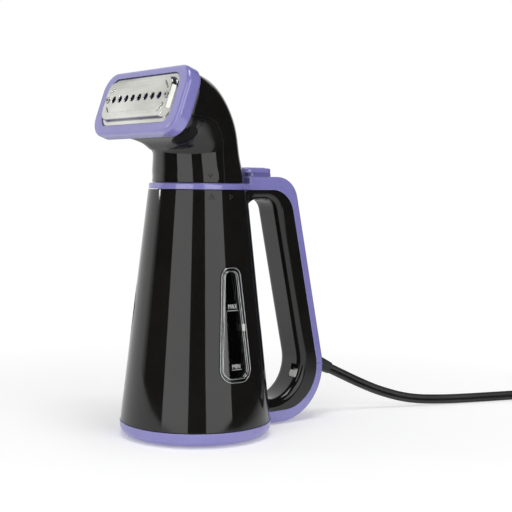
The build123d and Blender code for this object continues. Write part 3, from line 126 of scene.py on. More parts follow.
# Small hardware
BASE_SCREW_RING = 0.0443
BASE_SCREW_FOOT = 0.0012
SCREW_HEAD_RADIUS = 0.0026
SCREW_HEAD_TALL = 0.001
SCREW_HEAD_ROUND = 0.00035
SCREW_CROSS = (0.003, 0.0006, 0.0011)
SCREW_SHANK_RADIUS = 0.0014
SCREW_SHANK_TALL = 0.008
SPRING_MIDDLE = 0.0487
SPRING_FOOT = 0.1694
SPRING_TALL = 0.0042
SPRING_RADIUS = 0.0031
SPRING_WIRE_RADIUS = 0.00042
SPRING_TURNS = 4
SPRING_STEPS = 28
PLUG_SIDES = (0.42854, 0.44354)
PLUG_RIDGE_FIRST = 0.0076
PLUG_RIDGE_STEP = 0.0027
PLUG_RIDGES = 5
PLUG_RIDGE_SIZE = (0.0012, 0.0012, 0.0130)
PLUG_RIDGE_ROUND = 0.0004
PLUG_MIDDLE_HEIGHT = 0.0129

# Room: its even fill, and the bright wall behind the steamer, which fades to dark towards the sides
WHITE = (1, 1, 1, 1)
FILL_LIGHT = 0.36
WALL_AZIMUTH = math.radians(-5.0)
WALL_START = 0.48
WALL_END = 0.68
WALL_DARK = 0.015

# Floor paper: its place, tone and own light, and the distances between which it runs out to white
FLOOR_MIDDLE = (-0.39, 0, 0)
FLOOR_SIZE = (1.82, 2.6, 1)
FLOOR_COLOUR = (0.9, 0.9, 0.9)
FLOOR_ROUGH = 0.9
FLOOR_SHEEN = 0.1
FLOOR_GLOW = 0.22
FLOOR_NEAR = 0.13
FLOOR_FAR = 0.42

# Beyond the handle the floor is darker in mirrors, from one place along X to the next
SHADE_START = 0.12
SHADE_END = 0.24
SHADE_TONE = 0.05

# Softboxes: name, angle round the steamer, distance, height, width, how tall, and power in watts
SOFTBOXES = [
    ("left softbox", CAMERA_AZIMUTH - math.radians(31), 1.6, 0.45, 1.17, 1.9, 13.0),
    ("right softbox", CAMERA_AZIMUTH + math.radians(36.5), 1.6, 0.45, 1.2, 1.9, 13.0),
    ("top softbox", CAMERA_AZIMUTH, 0.3, 1.7, 0.8, 0.8, 10.0),
    ("edge lamp", math.radians(-131), 1.6, 0.58, 0.12, 0.4, 2.2),
]
SOFTBOX_AIM = 0.6


def clear_selection():
    """Nothing is selected or active, so the next tool works on its own piece only."""
    if bpy.context.object and bpy.context.object.mode != "OBJECT":
        bpy.ops.object.mode_set(mode="OBJECT")
    bpy.ops.object.select_all(action="DESELECT")
    bpy.context.view_layer.objects.active = None


def hold(piece):
    """Only this piece is selected and active."""
    clear_selection()
    piece.select_set(True)
    bpy.context.view_layer.objects.active = piece


def settle(piece):
    """The piece's place, turn and size go into its mesh."""
    hold(piece)
    bpy.ops.object.transform_apply(location=True, rotation=True, scale=True)


def finish_with(piece, kind, **settings):
    """One modifier is set and applied."""
    hold(piece)
    modifier = piece.modifiers.new(kind.lower(), kind)
    for name, value in settings.items():
        setattr(modifier, name, value)
    bpy.ops.object.modifier_apply(modifier=modifier.name)


def shade_soft(piece, degrees):
    """Smooth shading, with edges sharper than the angle kept crisp."""
    hold(piece)
    bpy.ops.object.shade_smooth_by_angle(angle=math.radians(degrees))


def pick_faces(piece, wanted):
    """In edit mode, only the faces whose middle and normal pass the test are selected."""
    bpy.ops.mesh.select_mode(type="FACE")
    bpy.ops.mesh.select_all(action="DESELECT")
    shape = bmesh.from_edit_mesh(piece.data)
    for face in shape.faces:
        face.select_set(wanted(face.calc_center_median(), face.normal))
    bmesh.update_edit_mesh(piece.data)


def join_pieces(name, pieces):
    """Several meshes become one named piece."""
    clear_selection()
    for piece in pieces:
        piece.select_set(True)
    bpy.context.view_layer.objects.active = pieces[0]
    if len(pieces) > 1:
        bpy.ops.object.join()
    whole = bpy.context.object
    whole.name = name
    return whole


def copy_piece(piece, shift):
    """Another of the same piece, with its own mesh, a step away."""
    hold(piece)
    bpy.ops.object.duplicate(linked=False)
    bpy.ops.transform.translate(value=shift)
    other = bpy.context.object
    settle(other)
    return other


# Finishes: scales of their noises, the part of a noise's range that they use, and depths of their relief

CLOUD_SCALE = 38.0
HANDLING_SCALE = 95.0
HANDLING_DETAIL = 6.0
GRAIN_DETAIL = 2.0
METAL_DETAIL = 5.0
NOISE_LOW = 0.3
NOISE_HIGH = 0.7
HANDLING_HIGH = 0.75
MOULDED_DEPTH = 0.0002
METAL_DEPTH = 0.0001
EDGE_SAMPLES = 6
# Edge share for paler edges, which are partly wear and partly a painted highlight
WEAR_AND_HIGHLIGHT_FULL = 0.82
WEAR_AND_HIGHLIGHT_NONE = 0.995


def new_finish(name, colour, roughness):
    """A new material, its node tree and its plain shader."""
    material = bpy.data.materials.new(name)
    material.use_nodes = True
    tree = material.node_tree
    shader = tree.nodes["Principled BSDF"]
    shader.inputs["Base Color"].default_value = (*colour, 1)
    shader.inputs["Roughness"].default_value = roughness
    return material, tree, shader


def add_noise(tree, scale, detail=3.0, stretch=(1, 1, 1)):
    """Noise over the piece's own coordinates, stretched where a finish runs one way."""
    place = tree.nodes.new("ShaderNodeTexCoord")
    mapping = tree.nodes.new("ShaderNodeMapping")
    mapping.inputs["Scale"].default_value = stretch
    noise = tree.nodes.new("ShaderNodeTexNoise")
    noise.inputs["Scale"].default_value = scale
    noise.inputs["Detail"].default_value = detail
    tree.links.new(place.outputs["Object"], mapping.inputs["Vector"])
    tree.links.new(mapping.outputs["Vector"], noise.inputs["Vector"])
    return noise.outputs["Fac"]


def add_range(tree, source, low, high, out_low, out_high):
    """A value moved from one range to another, and held there."""
    remap = tree.nodes.new("ShaderNodeMapRange")
    remap.inputs["From Min"].default_value = low
    remap.inputs["From Max"].default_value = high
    remap.inputs["To Min"].default_value = out_low
    remap.inputs["To Max"].default_value = out_high
    tree.links.new(source, remap.inputs["Value"])
    return remap.outputs["Result"]


def add_colours(tree, source, dark, light):
    """Colour ramp from dark to light over the used part of a noise."""
    ramp = tree.nodes.new("ShaderNodeValToRGB")
    for stop, place, colour in zip(ramp.color_ramp.elements, (NOISE_LOW, NOISE_HIGH), (dark, light)):
        stop.position = place
        stop.color = (*colour, 1)
    tree.links.new(source, ramp.inputs["Fac"])
    return ramp.outputs["Color"]


def add_bump(tree, shader, source, strength, depth):
    """Fine relief on the shader's surface."""
    bump = tree.nodes.new("ShaderNodeBump")
    bump.inputs["Strength"].default_value = strength
    bump.inputs["Distance"].default_value = depth
    tree.links.new(source, bump.inputs["Height"])
    tree.links.new(bump.outputs["Normal"], shader.inputs["Normal"])
    return bump


def add_soft_edge(tree, radius):
    """Normals that make the edges take the light as if rounded."""
    round_edge = tree.nodes.new("ShaderNodeBevel")
    round_edge.samples = EDGE_SAMPLES
    round_edge.inputs["Radius"].default_value = radius
    return round_edge.outputs["Normal"]


def add_edge_wear_and_highlight(tree, round_edge):
    """A value that is one on the softened edges and none elsewhere."""
    surface = tree.nodes.new("ShaderNodeNewGeometry")
    lean = tree.nodes.new("ShaderNodeVectorMath")
    lean.operation = "DOT_PRODUCT"
    tree.links.new(round_edge, lean.inputs[0])
    tree.links.new(surface.outputs["Normal"], lean.inputs[1])
    return add_range(tree, lean.outputs["Value"], WEAR_AND_HIGHLIGHT_FULL, WEAR_AND_HIGHLIGHT_NONE, 1.0, 0.0)


def add_worn_and_lit_colour(tree, colour, worn_and_lit, pale):
    """The colour turns paler on the edges, partly as wear and partly as a painted highlight."""
    mix = tree.nodes.new("ShaderNodeMix")
    mix.data_type = "RGBA"
    sockets = {socket.identifier: socket for socket in mix.inputs}
    sockets["B_Color"].default_value = (*pale, 1)
    tree.links.new(worn_and_lit, sockets["Factor_Float"])
    tree.links.new(colour, sockets["A_Color"])
    return {socket.identifier: socket for socket in mix.outputs}["Result_Color"]


def moulded_finish(name, dark, light, smooth, rough, grain=900.0, relief=0.05, edge=0.0004, wear_and_highlight_tone=None):
    """Moulded plastic: slightly uneven colour, patches of handling, a fine skin and softened edges."""
    material, tree, shader = new_finish(name, light, rough)
    colour = add_colours(tree, add_noise(tree, CLOUD_SCALE), dark, light)
    round_edge = add_soft_edge(tree, edge)
    # Where a tone is given, the edges turn paler: partly wear, partly a painted highlight.
    if wear_and_highlight_tone:
        colour = add_worn_and_lit_colour(tree, colour, add_edge_wear_and_highlight(tree, round_edge), wear_and_highlight_tone)
    tree.links.new(colour, shader.inputs["Base Color"])
    handling = add_noise(tree, HANDLING_SCALE, HANDLING_DETAIL)
    gloss = add_range(tree, handling, NOISE_LOW, HANDLING_HIGH, smooth, rough)
    tree.links.new(gloss, shader.inputs["Roughness"])
    bump = add_bump(tree, shader, add_noise(tree, grain, GRAIN_DETAIL), relief, MOULDED_DEPTH)
    tree.links.new(round_edge, bump.inputs["Normal"])
    return material


def metal_finish(name, dark, light, smooth, rough, run=(1, 1, 1), scale=400.0, relief=0.08, edge=0.0003):
    """Bare metal: tone and gloss vary with the marks of rolling, drawing or casting."""
    material, tree, shader = new_finish(name, light, rough)
    shader.inputs["Metallic"].default_value = 1.0
    marks = add_noise(tree, scale, METAL_DETAIL, run)
    tree.links.new(add_colours(tree, marks, dark, light), shader.inputs["Base Color"])
    gloss = add_range(tree, marks, NOISE_LOW, NOISE_HIGH, smooth, rough)
    tree.links.new(gloss, shader.inputs["Roughness"])
    bump = add_bump(tree, shader, marks, relief, METAL_DEPTH)
    tree.links.new(add_soft_edge(tree, edge), bump.inputs["Normal"])
    return material


gloss_black = moulded_finish(
    "gloss black moulding",
    dark=(0.006, 0.0057, 0.0053),
    light=(0.0085, 0.008, 0.0075),
    smooth=0.03,
    rough=0.07,
    grain=700.0,
    relief=0.008,
)
satin_black = moulded_finish(
    "satin black moulding", dark=(0.016, 0.016, 0.016), light=(0.026, 0.026, 0.025), smooth=0.3, rough=0.42
)
violet = moulded_finish(
    "violet moulding",
    dark=(0.19, 0.177, 0.45),
    light=(0.215, 0.202, 0.485),
    smooth=0.07,
    rough=0.14,
    grain=700.0,
    relief=0.01,
    edge=0.0006,
    # Edge tone: wear and a painted highlight along the violet edges.
    wear_and_highlight_tone=(0.42, 0.4, 0.76),
)
violet.node_tree.nodes["Principled BSDF"].inputs["Specular IOR Level"].default_value = 1.0
steel_sheet = metal_finish(
    "pressed steel sheet",
    dark=(0.4, 0.4, 0.37),
    light=(0.74, 0.74, 0.7),
    smooth=0.1,
    rough=0.22,
    run=(1, 0.35, 1),
    scale=45.0,
    relief=0.03,
    edge=0.0011,
)
rivet_steel = metal_finish(
    "rivet steel", dark=(0.34, 0.34, 0.33), light=(0.52, 0.52, 0.5), smooth=0.12, rough=0.25
)
# Mirror-bright metal for the window's rim beads: a painted highlight standing in for the glints of the clear
# plastic rim.
rim_glint_metal = metal_finish(
    "metal glint stand-in for clear edge", dark=(0.45, 0.47, 0.47), light=(0.7, 0.72, 0.72), smooth=0.06, rough=0.16
)
# Pale printing for the water marks, also used on the right window clip as a painted glint.
print_and_glint_white = moulded_finish(
    "pale printing and clip glint", dark=(0.6, 0.61, 0.6), light=(0.75, 0.76, 0.75), smooth=0.3, rough=0.45
)
cast_metal = metal_finish(
    "cast boiler metal",
    dark=(0.45, 0.45, 0.46),
    light=(0.6, 0.6, 0.61),
    smooth=0.4,
    rough=0.6,
    scale=260.0,
    relief=0.3,
)
spring_wire = metal_finish(
    "drawn spring wire", dark=(0.4, 0.4, 0.41), light=(0.55, 0.55, 0.55), smooth=0.25, rough=0.4, run=(1, 1, 8)
)
screw_metal = metal_finish(
    "plated screw", dark=(0.42, 0.42, 0.43), light=(0.58, 0.58, 0.58), smooth=0.25, rough=0.4
)
brass = metal_finish("plain brass", dark=(0.6, 0.43, 0.17), light=(0.72, 0.56, 0.28), smooth=0.22, rough=0.38)
white_plastic = moulded_finish(
    "heat-proof white", dark=(0.62, 0.61, 0.57), light=(0.72, 0.71, 0.67), smooth=0.45, rough=0.6
)
grey_plastic = moulded_finish(
    "light grey knob", dark=(0.5, 0.5, 0.48), light=(0.6, 0.6, 0.58), smooth=0.35, rough=0.5
)
wire_sleeve = moulded_finish(
    "wire sleeve", dark=(0.45, 0.4, 0.35), light=(0.55, 0.5, 0.45), smooth=0.5, rough=0.65
)
dark_seal = moulded_finish(
    "dark window seal", dark=(0.006, 0.006, 0.006), light=(0.011, 0.011, 0.011), smooth=0.35, rough=0.5
)
silicone = moulded_finish("pale silicone", dark=(0.5, 0.5, 0.48), light=(0.62, 0.62, 0.6), smooth=0.5, rough=0.65)
foot_rubber = moulded_finish(
    "foot rubber",
    dark=(0.03, 0.03, 0.03),
    light=(0.055, 0.055, 0.055),
    smooth=0.7,
    rough=0.85,
    grain=500.0,
    relief=0.2,
)
cord_skin = moulded_finish(
    "cord skin",
    dark=(0.012, 0.012, 0.012),
    light=(0.022, 0.022, 0.021),
    smooth=0.34,
    rough=0.48,
    grain=600.0,
    relief=0.1,
)


def window_finish():
    """Clear moulded plastic with faint haze."""
    material, tree, shader = new_finish("clear window", colour=(0.93, 0.95, 0.95), roughness=0.04)
    shader.inputs["Transmission Weight"].default_value = 1.0
    shader.inputs["IOR"].default_value = 1.49
    haze = add_noise(tree, scale=140.0, detail=5.0)
    gloss = add_range(tree, haze, low=0.35, high=0.75, out_low=0.02, out_high=0.06)
    tree.links.new(gloss, shader.inputs["Roughness"])
    ripple = add_noise(tree, scale=160.0, detail=2.0)
    bump = add_bump(tree, shader, ripple, strength=0.03, depth=0.0003)
    tree.links.new(add_soft_edge(tree, radius=0.0009), bump.inputs["Normal"])
    return material


clear_window = window_finish()

FINISH_OF_SLOT = {
    "black_gloss": gloss_black,
    "black_matte": satin_black,
    "violet": violet,
    "clear": clear_window,
    "stainless": steel_sheet,
    "cast_aluminium": cast_metal,
    "spring_steel": spring_wire,
    "screw_steel": screw_metal,
    "brass": brass,
    "white_plastic": white_plastic,
    "grey_plastic": grey_plastic,
    "wire": wire_sleeve,
    "seal": silicone,
    "foot_rubber": foot_rubber,
    "cord_black": cord_skin,
}

for subpart in frame["record"]["subparts"]:
    for slot in nodes[subpart["node"]].material_slots:
        slot.material = FINISH_OF_SLOT[subpart["material_slot"]]
for slot in nodes["window_seal"].material_slots:
    slot.material = dark_seal
for slot in nodes["end_rivets"].material_slots:
    slot.material = rivet_steel


# Mains cord and plug


def model_plug_ridges():
    """Finger ridges on both sides of the plug."""
    ridges = []
    for side, way in zip(PLUG_SIDES, (-1, 1)):
        clear_selection()
        bpy.ops.mesh.primitive_cube_add(size=1, location=(side, PLUG_RIDGE_FIRST, PLUG_MIDDLE_HEIGHT))
        ridge = bpy.context.object
        ridge.scale = PLUG_RIDGE_SIZE
        settle(ridge)
        bpy.ops.object.mode_set(mode="EDIT")
        pick_faces(ridge, lambda spot, normal: normal.x * way > FACING)
        bpy.ops.mesh.bevel(offset=PLUG_RIDGE_ROUND, segments=3, affect="EDGES")
        bpy.ops.object.mode_set(mode="OBJECT")
        shade_soft(ridge, 40)
        ridge.data.materials.append(satin_black)
        ridges.append(ridge)
        ridges += [copy_piece(ridge, (0, k * PLUG_RIDGE_STEP, 0)) for k in range(1, PLUG_RIDGES)]
    whole = join_pieces("plug_ridges", ridges)
    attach(whole, "body")
    return whole


def cord_route_points():
    """Control points of the whole cord: its free stretch, the coil's two layers and the tail to the plug."""
    points = [Vector(spot) for spot in CORD_ROUTE]
    step = 2 * math.pi / COIL_STEPS
    last = 2 * math.pi * COIL_TURNS - COIL_START
    count = round(last / step)
    for k in range(1, count):
        share = k / count
        inward = 1 - abs(2 * share - 1)
        radius = (COIL_OUTER + (COIL_INNER - COIL_OUTER) * inward) / math.cos(step / 2)
        climb = min(max((share - 0.5) * count / CLIMB_STEPS + 0.5, 0), 1)
        angle = COIL_START + share * last
        x = COIL_MIDDLE[0] + radius * math.cos(angle)
        y = COIL_MIDDLE[1] + radius * math.sin(angle)
        points.append(Vector((x, y, COIL_LOW + (COIL_HIGH - COIL_LOW) * climb)))
    end = Vector((COIL_MIDDLE[0] + COIL_OUTER, COIL_MIDDLE[1], COIL_HIGH))
    points.append(end)
    points.append(end + Vector((0, CORD_TAIL / 2, 0)))
    points.append(end + Vector((0, CORD_TAIL, 0)))
    return points


def cord_profile():
    """Outline of the flat twin section: two round cores with a shallow groove between them."""
    core = CORD_THICK / 2
    reach = CORD_WIDTH / 2 - core
    half = []
    for k in range(CORE_STEPS + 1):
        angle = CORE_START + CORE_SWEEP * k / CORE_STEPS
        half.append((core * math.cos(angle), reach + core * math.sin(angle)))
    curve = bpy.data.curves.new("cord outline", "CURVE")
    curve.dimensions = "2D"
    spline = curve.splines.new("POLY")
    outline = half + [(-x, -y) for x, y in half]
    spline.points.add(len(outline) - 1)
    for point, (x, y) in zip(spline.points, outline):
        point.co = (x, y, 0, 1)
    spline.use_cyclic_u = True
    profile = bpy.data.objects.new("cord_outline", curve)
    scene.collection.objects.link(profile)
    return profile


def make_cord():
    """The whole lead as one tube along its smooth route."""
    points = cord_route_points()
    curve = bpy.data.curves.new("mains cord", "CURVE")
    curve.dimensions = "3D"
    curve.twist_mode = "Z_UP"
    curve.resolution_u = 6
    spline = curve.splines.new("NURBS")
    spline.points.add(len(points) - 1)
    for point, spot in zip(spline.points, points):
        point.co = (*spot, 1)
    spline.order_u = 3
    spline.use_endpoint_u = True
    cord = bpy.data.objects.new("mains_cord", curve)
    scene.collection.objects.link(cord)
    line = bpy.data.meshes.new_from_object(cord)
    path = [vertex.co.copy() for vertex in line.vertices]
    bpy.data.meshes.remove(line)
    length = sum((b - a).length for a, b in zip(path, path[1:]))
    profile = cord_profile()
    curve.bevel_mode = "OBJECT"
    curve.bevel_object = profile
    curve.use_fill_caps = True
    hold(cord)
    bpy.ops.object.convert(target="MESH")
    bpy.data.objects.remove(profile)
    shade_soft(cord, 50)
    cord.data.materials.append(cord_skin)
    return cord, path, length


plug_ridges = model_plug_ridges()
mains_cord, cord_path, cord_length = make_cord()
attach(mains_cord, "body")
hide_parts("cord_lead", "cord_coil")


# Water marks on the window, and the marks of the twist lock


def lay_on(piece, node, raise_by):
    """A flat outline in front of the steamer is laid on a surface behind it and given its thickness."""
    finish_with(
        piece,
        "SHRINKWRAP",
        target=nodes[node],
        wrap_method="PROJECT",
        use_project_y=True,
        use_positive_direction=True,
        use_negative_direction=False,
        offset=-MARK_LIFT,
    )
    finish_with(piece, "SOLIDIFY", thickness=raise_by, offset=1.0)


def print_word(word, left, right, foot, top):
    """A word on the window's pane, fitted between its left and right ends."""
    clear_selection()
    bpy.ops.object.text_add(location=(0, 0, 0))
    letters = bpy.context.object
    letters.data.body = word
    letters.data.resolution_u = 3
    bpy.ops.object.convert(target="MESH")
    low = [min(vertex.co[axis] for vertex in letters.data.vertices) for axis in (0, 1)]
    high = [max(vertex.co[axis] for vertex in letters.data.vertices) for axis in (0, 1)]
    across = (right - left) / (high[0] - low[0])
    up = (top - foot) / (high[1] - low[1])
    letters.rotation_euler = (math.pi / 2, 0, 0)
    letters.scale = (across, up, 1)
    letters.location = (left - low[0] * across, MARK_START, foot - low[1] * up)
    settle(letters)
    return letters


def rule_line(left, right, height):
    """A level line, in short steps so that it follows the pane's curve."""
    clear_selection()
    bpy.ops.mesh.primitive_grid_add(
        x_subdivisions=LINE_STEPS, y_subdivisions=1, size=1, location=((left + right) / 2, MARK_START, height)
    )
    line = bpy.context.object
    line.rotation_euler = (math.pi / 2, 0, 0)
    line.scale = (right - left, LINE_TALL, 1)
    settle(line)
    return line


def mark_level(name, word, ends, foot, top, line_ends, line_height):
    """A water mark: its word over its line."""
    mark = join_pieces(name, [print_word(word, *ends, foot, top), rule_line(*line_ends, line_height)])
    lay_on(mark, "water_window", WORD_RAISE)
    mark.data.materials.append(print_and_glint_white)
    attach(mark, "body")


def raise_triangle(name, body, node, middle, size, turn):
    """A raised triangle in outline, pointing up before its turn."""
    clear_selection()
    bpy.ops.mesh.primitive_circle_add(
        vertices=3, radius=size, fill_type="NGON", location=(middle[0], MARK_START, middle[1])
    )
    mark = bpy.context.object
    mark.name = name
    mark.rotation_euler = (math.pi / 2, turn, 0)
    settle(mark)
    bpy.ops.object.mode_set(mode="EDIT")
    bpy.ops.mesh.select_all(action="SELECT")
    bpy.ops.mesh.inset(thickness=size * MARK_STROKE)
    bpy.ops.mesh.delete(type="ONLY_FACE")
    bpy.ops.mesh.select_all(action="SELECT")
    bpy.ops.mesh.subdivide(number_cuts=MARK_CUTS)
    bpy.ops.object.mode_set(mode="OBJECT")
    lay_on(mark, node, MARK_RAISE)
    mark.data.materials.append(satin_black)
    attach(mark, body)


mark_level(
    "level_mark_max",
    "MAX",
    ends=(-0.0029, 0.0042),
    foot=0.0900,
    top=0.0931,
    line_ends=(-0.0038, 0.0052),
    line_height=0.0888,
)
mark_level(
    "level_mark_min",
    "MIN",
    ends=(-0.0021, 0.0042),
    foot=0.0509,
    top=0.0537,
    line_ends=(-0.0026, 0.0054),
    line_height=0.0501,
)
raise_triangle("lock_mark_closed", "body", "tank_body", middle=(-0.0108, 0.1632), size=0.0024, turn=0.0)
raise_triangle("lock_mark_open", "body", "tank_body", middle=(0.0034, 0.1635), size=0.0022, turn=math.pi / 2)
raise_triangle("head_pointer", "head", "neck_throat", middle=(-0.0097, 0.1776), size=0.0019, turn=math.pi)


# Beads and clips of the window's rim


def set_window_clip(name, middle, turn, foot, top, wide, finish):
    """A small snap tab on the window's rim, with a shallow pocket in its face."""
    clear_selection()
    bpy.ops.mesh.primitive_cube_add(size=1, location=(*middle, (foot + top) / 2))
    tab = bpy.context.object
    tab.name = name
    tab.scale = (wide, CLIP_THICK, top - foot)
    tab.rotation_euler = (CLIP_LEAN, 0, math.radians(turn))
    settle(tab)
    bpy.ops.object.mode_set(mode="EDIT")
    pick_faces(tab, lambda spot, normal: normal.y < -FACING)
    bpy.ops.mesh.inset(thickness=wide * CLIP_BORDER)
    bpy.ops.mesh.extrude_region_move(TRANSFORM_OT_translate={"value": (0, CLIP_POCKET, 0)})
    bpy.ops.object.mode_set(mode="OBJECT")
    finish_with(tab, "BEVEL", width=CLIP_ROUND, segments=2, limit_method="ANGLE")
    shade_soft(tab, 40)
    tab.data.materials.append(finish)
    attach(tab, "body")


def tank_radius(height):
    """Radius of the tank's cone at a height."""
    return TANK_FOOT_RADIUS - TANK_TAPER * (height - TANK_FOOT)


def bead_window_rim():
    """Rounded beads along the front edges of the window's frame and round its pane, in mirror-bright metal as a
    painted highlight for the clear rim's glints.
    """
    pane = nodes["water_window"]
    rim = bpy.data.objects.new("window_rim", pane.data.copy())
    scene.collection.objects.link(rim)
    rim.matrix_world = pane.matrix_world
    settle(rim)
    bpy.ops.object.mode_set(mode="EDIT")
    bpy.ops.mesh.select_all(action="SELECT")
    bpy.ops.mesh.remove_doubles(threshold=WELD)
    bpy.ops.mesh.select_mode(type="EDGE")
    bpy.ops.mesh.select_all(action="DESELECT")
    bpy.ops.mesh.edges_select_sharp(sharpness=RIM_SHARPNESS)
    shape = bmesh.from_edit_mesh(rim.data)
    for edge in shape.edges:
        spot = (edge.verts[0].co + edge.verts[1].co) / 2
        if spot.xy.length - tank_radius(spot.z) < WINDOW_BACK:
            edge.select_set(False)
    bmesh.update_edit_mesh(rim.data)
    bpy.ops.mesh.select_all(action="INVERT")
    bpy.ops.mesh.delete(type="EDGE_FACE")
    bpy.ops.mesh.delete_loose(use_verts=True, use_edges=False, use_faces=False)
    bpy.ops.object.mode_set(mode="OBJECT")
    bpy.ops.object.convert(target="CURVE")
    rim = bpy.context.object
    rim.data.bevel_depth = BEAD_RADIUS
    rim.data.bevel_resolution = 2
    bpy.ops.object.convert(target="MESH")
    rim = bpy.context.object
    shade_soft(rim, 60)
    rim.data.materials.clear()
    rim.data.materials.append(rim_glint_metal)
    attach(rim, "body")


bead_window_rim()
# The right clip's pale finish is a painted glint; the left clip is clear plastic.
set_window_clip(
    "window_clip_right",
    middle=(0.0078, -0.0443),
    turn=9.9,
    foot=0.0752,
    top=0.0798,
    wide=0.0017,
    finish=print_and_glint_white,
)
set_window_clip(
    "window_clip_left",
    middle=(-0.0093, -0.0440),
    turn=-11.9,
    foot=0.0717,
    top=0.0820,
    wide=0.0016,
    finish=clear_window,
)


# Small hardware


def model_base_screws():
    """Four pan-head screws under the base, with a cross recess."""
    ring = BASE_SCREW_RING * math.sqrt(0.5)
    clear_selection()
    bpy.ops.mesh.primitive_cylinder_add(
        vertices=32,
        radius=SCREW_HEAD_RADIUS,
        depth=SCREW_HEAD_TALL,
        location=(ring, ring, BASE_SCREW_FOOT + SCREW_HEAD_TALL / 2),
    )
    screw = bpy.context.object
    settle(screw)
    bpy.ops.object.mode_set(mode="EDIT")
    pick_faces(screw, lambda spot, normal: normal.z < -FACING)
    bpy.ops.mesh.bevel(offset=SCREW_HEAD_ROUND, segments=3, affect="EDGES")
    pick_faces(screw, lambda spot, normal: normal.z > FACING)
    bpy.ops.mesh.inset(thickness=SCREW_HEAD_RADIUS - SCREW_SHANK_RADIUS)
    bpy.ops.mesh.extrude_region_move(TRANSFORM_OT_translate={"value": (0, 0, SCREW_SHANK_TALL)})
    bpy.ops.object.mode_set(mode="OBJECT")
    for turn in (math.pi / 4, -math.pi / 4):
        clear_selection()
        bpy.ops.mesh.primitive_cube_add(size=1, location=(ring, ring, BASE_SCREW_FOOT))
        cutter = bpy.context.object
        cutter.scale = SCREW_CROSS
        cutter.rotation_euler = (0, 0, turn)
        settle(cutter)
        finish_with(screw, "BOOLEAN", operation="DIFFERENCE", object=cutter, solver="EXACT")
        bpy.data.objects.remove(cutter)
    shade_soft(screw, 35)
    screw.data.materials.append(screw_metal)
    shifts = ((-2 * ring, 0, 0), (0, -2 * ring, 0), (-2 * ring, -2 * ring, 0))
    whole = join_pieces("base_screws_cross", [screw] + [copy_piece(screw, shift) for shift in shifts])
    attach(whole, "body")
    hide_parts("base_screws")


def model_button_spring():
    """Coil spring round the button's pin; it is built at one length and does not shorten with the button."""
    clear_selection()
    bpy.ops.mesh.primitive_circle_add(
        vertices=10,
        radius=SPRING_WIRE_RADIUS,
        location=(SPRING_RADIUS, 0, 0),
        rotation=(math.pi / 2, 0, 0),
    )
    spring = bpy.context.object
    spring.name = "button_coil"
    settle(spring)
    rise = SPRING_TALL - 2 * SPRING_WIRE_RADIUS
    finish_with(
        spring,
        "SCREW",
        axis="Z",
        steps=SPRING_STEPS,
        render_steps=SPRING_STEPS,
        iterations=SPRING_TURNS,
        screw_offset=rise / SPRING_TURNS,
        use_normal_calculate=True,
    )
    bpy.ops.object.mode_set(mode="EDIT")
    bpy.ops.mesh.select_all(action="SELECT")
    bpy.ops.mesh.fill_holes(sides=0)
    bpy.ops.mesh.select_all(action="SELECT")
    bpy.ops.mesh.normals_make_consistent(inside=False)
    bpy.ops.object.mode_set(mode="OBJECT")
    spring.location = (SPRING_MIDDLE, 0, SPRING_FOOT + SPRING_WIRE_RADIUS)
    settle(spring)
    shade_soft(spring, 50)
    spring.data.materials.append(spring_wire)
    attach(spring, "body")
    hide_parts("button_spring")
    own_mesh(spring)


model_base_screws()
model_button_spring()


# Floor, light and camera


def add_math(tree, operation, first, second):
    """One sum, product or comparison of two values."""
    node = tree.nodes.new("ShaderNodeMath")
    node.operation = operation
    tree.links.new(first, node.inputs[0])
    tree.links.new(second, node.inputs[1])
    return node.outputs["Value"]


def add_shader_mix(tree, share, first, second):
    """The second shader over the first, by its share."""
    mix = tree.nodes.new("ShaderNodeMixShader")
    tree.links.new(share, mix.inputs["Fac"])
    tree.links.new(first, mix.inputs[1])
    tree.links.new(second, mix.inputs[2])
    return mix.outputs["Shader"]


def add_rays(tree):
    """Which rays come from the camera, and which by way of a mirror or something clear."""
    rays = tree.nodes.new("ShaderNodeLightPath").outputs
    mirrored = add_math(tree, "MAXIMUM", rays["Is Glossy Ray"], rays["Is Transmission Ray"])
    return rays["Is Camera Ray"], mirrored


def lay_floor():
    """Pale studio floor that keeps the steamer's soft shadow and runs out to plain white all round."""
    clear_selection()
    bpy.ops.mesh.primitive_plane_add(size=1, location=FLOOR_MIDDLE)
    floor = bpy.context.object
    floor.name = "studio_floor"
    floor.scale = FLOOR_SIZE
    settle(floor)
    material, tree, shader = new_finish("floor paper", FLOOR_COLOUR, FLOOR_ROUGH)
    shader.inputs["Specular IOR Level"].default_value = FLOOR_SHEEN
    shader.inputs["Emission Color"].default_value = WHITE
    shader.inputs["Emission Strength"].default_value = FLOOR_GLOW
    place = tree.nodes.new("ShaderNodeTexCoord")
    away = tree.nodes.new("ShaderNodeVectorMath")
    away.operation = "LENGTH"
    tree.links.new(place.outputs["Object"], away.inputs[0])
    far = add_range(tree, away.outputs["Value"], FLOOR_NEAR, FLOOR_FAR, 0.0, 1.0)
    axes = tree.nodes.new("ShaderNodeSeparateXYZ")
    tree.links.new(place.outputs["Object"], axes.inputs["Vector"])
    shaded = add_range(tree, axes.outputs["X"], SHADE_START, SHADE_END, 1.0, SHADE_TONE)
    from_camera, mirrored = add_rays(tree)
    white = tree.nodes.new("ShaderNodeEmission")
    tree.links.new(add_math(tree, "MAXIMUM", shaded, from_camera), white.inputs["Strength"])
    share = add_math(tree, "MULTIPLY", far, add_math(tree, "MAXIMUM", mirrored, from_camera))
    surface = add_shader_mix(tree, share, shader.outputs["BSDF"], white.outputs["Emission"])
    tree.links.new(surface, tree.nodes["Material Output"].inputs["Surface"])
    floor.data.materials.append(material)


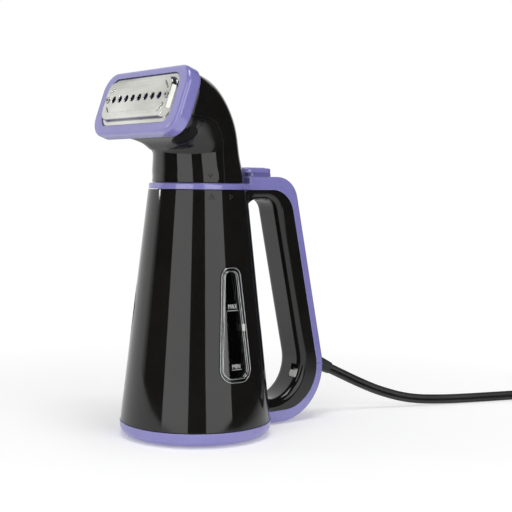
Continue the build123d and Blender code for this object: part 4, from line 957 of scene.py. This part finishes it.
def light_room():
    """White backdrop for the camera, an even fill, and a bright wall behind the steamer for reflections."""
    world = bpy.data.worlds.new("studio room")
    scene.world = world
    world.use_nodes = True
    tree = world.node_tree
    fill = tree.nodes["Background"]
    wall = tree.nodes.new("ShaderNodeBackground")
    white = tree.nodes.new("ShaderNodeBackground")
    for part in (fill, wall, white):
        part.inputs["Color"].default_value = WHITE
    fill.inputs["Strength"].default_value = FILL_LIGHT
    white.inputs["Strength"].default_value = 1.0
    place = tree.nodes.new("ShaderNodeTexCoord")
    away = tree.nodes.new("ShaderNodeVectorMath")
    away.operation = "DOT_PRODUCT"
    away.inputs[1].default_value = (-math.sin(WALL_AZIMUTH), math.cos(WALL_AZIMUTH), 0)
    tree.links.new(place.outputs["Generated"], away.inputs[0])
    bright = add_range(tree, away.outputs["Value"], WALL_START, WALL_END, WALL_DARK, 1.0)
    tree.links.new(bright, wall.inputs["Strength"])
    from_camera, mirrored = add_rays(tree)
    room = add_shader_mix(tree, mirrored, fill.outputs["Background"], wall.outputs["Background"])
    whole = add_shader_mix(tree, from_camera, room, white.outputs["Background"])
    tree.links.new(whole, tree.nodes["World Output"].inputs["Surface"])


def hang_softbox(name, azimuth, distance, height, width, tall, power):
    """Rectangular lamp at an angle round the steamer, turned to face it."""
    lamp = bpy.data.lights.new(name, "AREA")
    lamp.shape = "RECTANGLE"
    lamp.size = width
    lamp.size_y = tall
    lamp.energy = power
    box = bpy.data.objects.new(name, lamp)
    scene.collection.objects.link(box)
    box.location = (distance * math.sin(azimuth), -distance * math.cos(azimuth), height)
    aim = Vector((0, 0, min(height, SOFTBOX_AIM))) - box.location
    box.rotation_euler = aim.to_track_quat("-Z", "Y").to_euler()
    box.visible_camera = False


def set_camera():
    """Camera at the photograph's place, turn, dip and roll."""
    camera = bpy.data.cameras.new("studio camera")
    camera.lens = CAMERA_LENS
    camera.sensor_width = CAMERA_SENSOR
    holder = bpy.data.objects.new("studio_camera", camera)
    scene.collection.objects.link(holder)
    x = CAMERA_DISTANCE * math.sin(CAMERA_AZIMUTH)
    y = -CAMERA_DISTANCE * math.cos(CAMERA_AZIMUTH)
    holder.matrix_world = (
        Matrix.Translation((x, y, CAMERA_HEIGHT))
        @ Matrix.Rotation(CAMERA_AZIMUTH + CAMERA_TURN, 4, "Z")
        @ Matrix.Rotation(math.pi / 2 - CAMERA_DIP, 4, "X")
        @ Matrix.Rotation(CAMERA_ROLL, 4, "Z")
    )
    scene.camera = holder


lay_floor()
light_room()
for softbox in SOFTBOXES:
    hang_softbox(*softbox)
set_camera()
